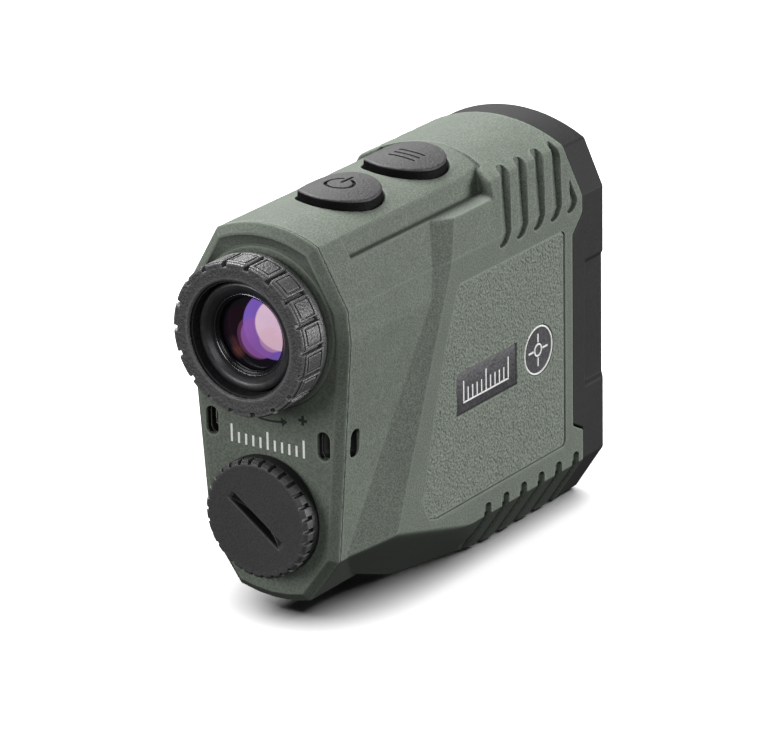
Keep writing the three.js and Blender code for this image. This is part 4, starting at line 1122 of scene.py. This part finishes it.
# bezel screws: domed heads with a six-lobe socket
def screw(name, x, z):
    import bmesh
    n = 48
    lobes = lambda a: 0.62 + 0.13 * math.cos(6 * a)
    rows = [(72.6, lambda a: 0.95), (86.1, lambda a: 0.95), (86.3, lambda a: 1.0), (86.3, lambda a: 1.75), (86.42, lambda a: 1.85), (87.1, lambda a: 1.85),
            (87.38, lambda a: 1.6), (87.5, lambda a: 1.15), (87.5, lambda a: lobes(a) + 0.06), (87.44, lobes), (86.75, lambda a: lobes(a) * 0.94)]
    bm = bmesh.new()
    rings = []
    for y, rf in rows:
        rings.append([bm.verts.new(place((x + rf(2 * math.pi * i / n) * math.cos(2 * math.pi * i / n), y, z + rf(2 * math.pi * i / n) * math.sin(2 * math.pi * i / n)))) for i in range(n)])
    for A, B in zip(rings[:-1], rings[1:]):
        for i in range(n):
            bm.faces.new((A[i], A[(i + 1) % n], B[(i + 1) % n], B[i]))
    for R, y in ((rings[0], 72.6), (rings[-1], 86.75)):
        c = bm.verts.new(place((x, y - (0.25 if R is rings[-1] else 0), z)))
        for i in range(n):
            bm.faces.new((R[i], R[(i + 1) % n], c))
    bmesh.ops.recalc_face_normals(bm, faces=bm.faces)
    me = bpy.data.meshes.new(name)
    bm.to_mesh(me)
    bm.free()
    o = bpy.data.objects.new(name, me)
    bpy.context.scene.collection.objects.link(o)
    outward(o)
    finish_smooth(o, 35)
    return o


for i, (x, z) in enumerate([(13.2, 68.4), (-13.2, 68.4), (16.6, 10.6), (-16.6, 10.6)]):
    piece(screw("bezel_screw_%d_skin" % (i + 1), x, z), mat_steel, "housing", "steel", "bezel_screw_%d" % (i + 1))


# side plates with a generic graduated scale, and plain ringed badges
def rounded_rect(y0, y1, z0, z1, r, n=5):
    pts = []
    for cy, cz, a0 in ((y1 - r, z1 - r, 0), (y0 + r, z1 - r, 90), (y0 + r, z0 + r, 180), (y1 - r, z0 + r, 270)):
        for k in range(n + 1):
            a = math.radians(a0 + 90 * k / n)
            pts.append((cy + r * math.cos(a), cz + r * math.sin(a)))
    return pts


for side, mir in (("right", False), ("left", True)):
    ob = plate("name_plate_" + side + "_skin", rounded_rect(34.95, 55.85, 30.65, 39.05, 0.35), 18.7, 19.42, 0.12, mir)
    piece(ob, mat_plate, "housing", "plate_grey", "name_plate_" + side)
    bars = []
    for k in range(11):
        y = 37.6 + 1.56 * k
        tall = 4.3 if k % 5 == 0 else 2.6
        bars.append(rounded_rect(y - 0.19, y + 0.19, 32.8, 32.8 + tall, 0.12, 3))
    bars.append(rounded_rect(37.41, 53.39, 32.4, 32.75, 0.12, 3))
    for k, b in enumerate(bars):
        o = plate("plate_scale_%s_%02d" % (side, k), b, 19.3, 19.5, 0.04, mir)
        piece(o, mat_print, "housing", "plate_grey")
    s = -1 if mir else 1
    # badge: dark textured disc in a thin pale rim, turned about X
    def turned_x(name, profile, cy, cz, seg=96):
        o = turned(name, profile, seg, 0, 0)
        co = np.empty(len(o.data.vertices) * 3)
        o.data.vertices.foreach_get("co", co)
        q = co.reshape(-1, 3) / MM - np.array([0, OFF_Y, OFF_Z])
        q = np.stack([q[:, 1] * s, q[:, 0] + cy, q[:, 2] + cz], 1)
        o.data.vertices.foreach_set("co", place(q).ravel())
        o.data.update()
        outward(o)
        return o
    disc = [(0, 18.7), (5.08, 18.7), (5.08, 19.45), (4.7, 19.45), (4.62, 19.36), (0, 19.36)]
    ob = turned_x("badge_" + side + "_skin", disc, 63.9, 35.1)
    piece(ob, mat_plate, "housing", "badge_satin", "badge_" + side)
    rim = rounded([(4.66, 19.3), (5.08, 19.3), (5.08, 19.52), (4.98, 19.6), (4.76, 19.6), (4.66, 19.52)], 0.05, 2)
    ob = turned_x("badge_rim_" + side, rim, 63.9, 35.1)
    piece(ob, mat_print, "housing", "badge_satin")
    # a plain reticle on the badge: small ring and four short ticks
    dot = rounded([(1.02, 19.3), (1.38, 19.3), (1.38, 19.5), (1.02, 19.5)], 0.04, 2)
    piece(turned_x("badge_ring_" + side, dot, 63.9, 35.1, 48), mat_print, "housing", "badge_satin")
    for k, (dy, dz, hy, hz) in enumerate([(2.5, 0, 0.9, 0.2), (-2.5, 0, 0.9, 0.2), (0, 2.5, 0.2, 0.9), (0, -2.5, 0.2, 0.9)]):
        o = plate("badge_tick_%s_%d" % (side, k + 1), rounded_rect(63.9 + dy - hy, 63.9 + dy + hy, 35.1 + dz - hz, 35.1 + dz + hz, 0.12, 3), 19.3, 19.5, 0.04, mir)
        piece(o, mat_print, "housing", "badge_satin")
tick("small parts")

# dioptre index inlaid in the rear face: arc, arrowhead and plus sign
arc = [((18.9) * math.sin(math.radians(a)), EYE_Z - 18.9 * math.cos(math.radians(a))) for a in np.linspace(-6, 11, 16)]
arc += [((18.45) * math.sin(math.radians(a)), EYE_Z - 18.45 * math.cos(math.radians(a))) for a in np.linspace(11, -6, 16)]
hd = lambda r, d: (r * math.sin(math.radians(d)), EYE_Z - r * math.cos(math.radians(d)))
head_ = [hd(19.6, 10.4), hd(18.68, 15), hd(17.8, 10.4)]
plus = [(8.3 + a, 38.9 + b) for a, b in [(-0.98, -0.3), (-0.3, -0.3), (-0.3, -0.98), (0.3, -0.98), (0.3, -0.3), (0.98, -0.3), (0.98, 0.3), (0.3, 0.3), (0.3, 0.98), (-0.3, 0.98), (-0.3, 0.3), (-0.98, 0.3)]]
ob = prism_y("dioptre_index", [arc, head_, plus], -0.02, 0.5)
piece(ob, mat_mark, "housing", "armour")

# white tick row between the eyepiece and the battery cap, inlaid the same way
rows = [[(x - 0.24, 31.3 - 0.0), (x + 0.24, 31.3), (x + 0.24, 31.3 + h), (x - 0.24, 31.3 + h)] for x, h in
        [(-8.4 + 1.68 * k, 3.6 if k % 5 == 0 else 2.2) for k in range(11)]]
ob = prism_y("range_ticks", rows, -0.02, 0.5)
piece(ob, mat_print, "housing", "armour")

# carried-over CAD nodes get worked materials
for nm, m in {
        "optic_bench": mat_black, "reticle_display": mat_display, "roof_prism": mat_prism, "half_penta_prism": mat_prism,
        "receiver_cone": mat_black, "receiver_board": mat_board, "detector_can": mat_steel, "laser_diode": mat_brass,
        "main_board": mat_board, "switch_board": mat_board, "power_switch": mat_switch, "mode_switch": mat_switch,
        "power_plunger": mat_switch, "mode_plunger": mat_switch, "battery_tube": mat_black, "battery_cell": mat_cell,
        "battery_contact": mat_brass, "dioptre_sleeve": mat_black, "field_lens": mat_prism, "field_lens_ring": mat_alloy,
        "cap_contact": mat_brass, "cap_spring": mat_steel, "cap_seal": mat_seal}.items():
    keep_cad(nm, m)
tick("cad materials")

# ------------------------------------------------------------------ stage: floor, lights, camera
scene = bpy.context.scene
me = bpy.data.meshes.new("floor")
S = 3.0
me.from_pydata([(-S, -S, 0), (S, -S, 0), (S, S, 0), (-S, S, 0)], [], [(0, 1, 2, 3)])
floor = bpy.data.objects.new("floor", me)
scene.collection.objects.link(floor)
n = Nodes("floor_paper")
n.color(n.mix(n.range(n.noise(9, 2.0, 0.5), 0.3, 0.7, 0.0, 1.0), (0.85, 0.85, 0.85, 1), (0.87, 0.87, 0.87, 1)))
n.set(Roughness=0.9, Specular_IOR_Level=0.1)
floor.data.materials.append(n.m)

world = bpy.data.worlds.new("studio")
scene.world = world
world.use_nodes = True
bg = world.node_tree.nodes["Background"]
bg.inputs[0].default_value = (1.0, 1.0, 1.0, 1)
bg.inputs[1].default_value = 0.02


def area(name, loc, target, size, power, color=(1, 1, 1), size_y=None):
    l = bpy.data.lights.new(name, "AREA")
    l.energy, l.color = power, color
    l.shape = "RECTANGLE"
    l.size, l.size_y = size, size_y or size
    o = bpy.data.objects.new(name, l)
    o.location = loc
    o.rotation_euler = (Vector(target) - Vector(loc)).to_track_quat("-Z", "Y").to_euler()
    scene.collection.objects.link(o)
    return o


def softbox(name, azimuth, elevation, power, size=1.3, distance=2.2):
    ca, ce = math.radians(azimuth), math.radians(elevation)
    t = Vector((0, 0, 0.04))
    d = Vector((math.cos(ca) * math.cos(ce), math.sin(ca) * math.cos(ce), math.sin(ce)))
    o = area(name, t + distance * d, t, size, power)
    o.data.shape = "DISK"
    return o


EXPOSE = 1.7
lamps = [softbox("key_overhead", 150, 48, 68 * EXPOSE),
         softbox("side_right", 32, 6, 46 * EXPOSE),
         softbox("side_left_rear", 240, 20, 20 * EXPOSE),
         softbox("rear_fill", 300, 20, 9 * EXPOSE)]
# the paper is lit on its own by a wide box straight above, so its shadow is short and soft
paper = area("paper_box", (-0.35, 0.1, 2.0), (-0.35, 0.1, 0), 5.0, 240)
paper.data.shape = "DISK"
only = bpy.data.collections.new("paper_only")
only.objects.link(floor)
paper.light_linking.receiver_collection = only
other = bpy.data.collections.new("not_paper")
other.objects.link(floor)
other.collection_objects[0].light_linking.link_state = "EXCLUDE"
for o in lamps:
    o.light_linking.receiver_collection = other
floor.visible_diffuse = False
floor.visible_glossy = False

a, e, roll = math.radians(35.0), math.radians(20.69), math.radians(-1.02)
r0 = Vector((math.cos(a), math.sin(a), 0))
back = Vector((math.sin(a) * math.cos(e), -math.cos(a) * math.cos(e), math.sin(e)))
u0 = back.cross(r0)
right = math.cos(roll) * r0 + math.sin(roll) * u0
up = -math.sin(roll) * r0 + math.cos(roll) * u0
D, OX, OY = 968.39, -21.46, -44.08
C = (-OX) * right + (-OY) * up + D * back
C = (C + Vector((0, OFF_Y, OFF_Z))) * MM
cam = bpy.data.cameras.new("camera")
cam.sensor_fit = "HORIZONTAL"
cam.sensor_width = 36.0
cam.lens = 36.0 * 5058.08 / 768
cam.clip_start, cam.clip_end = 0.05, 20
co = bpy.data.objects.new("camera", cam)
M = Matrix.Identity(4)
for i, v in enumerate((right, up, back)):
    for j in range(3):
        M[j][i] = v[j]
M.translation = C
co.matrix_world = M
scene.collection.objects.link(co)
scene.camera = co
scene.view_settings.view_transform = "Standard"
scene.view_settings.look = "None"
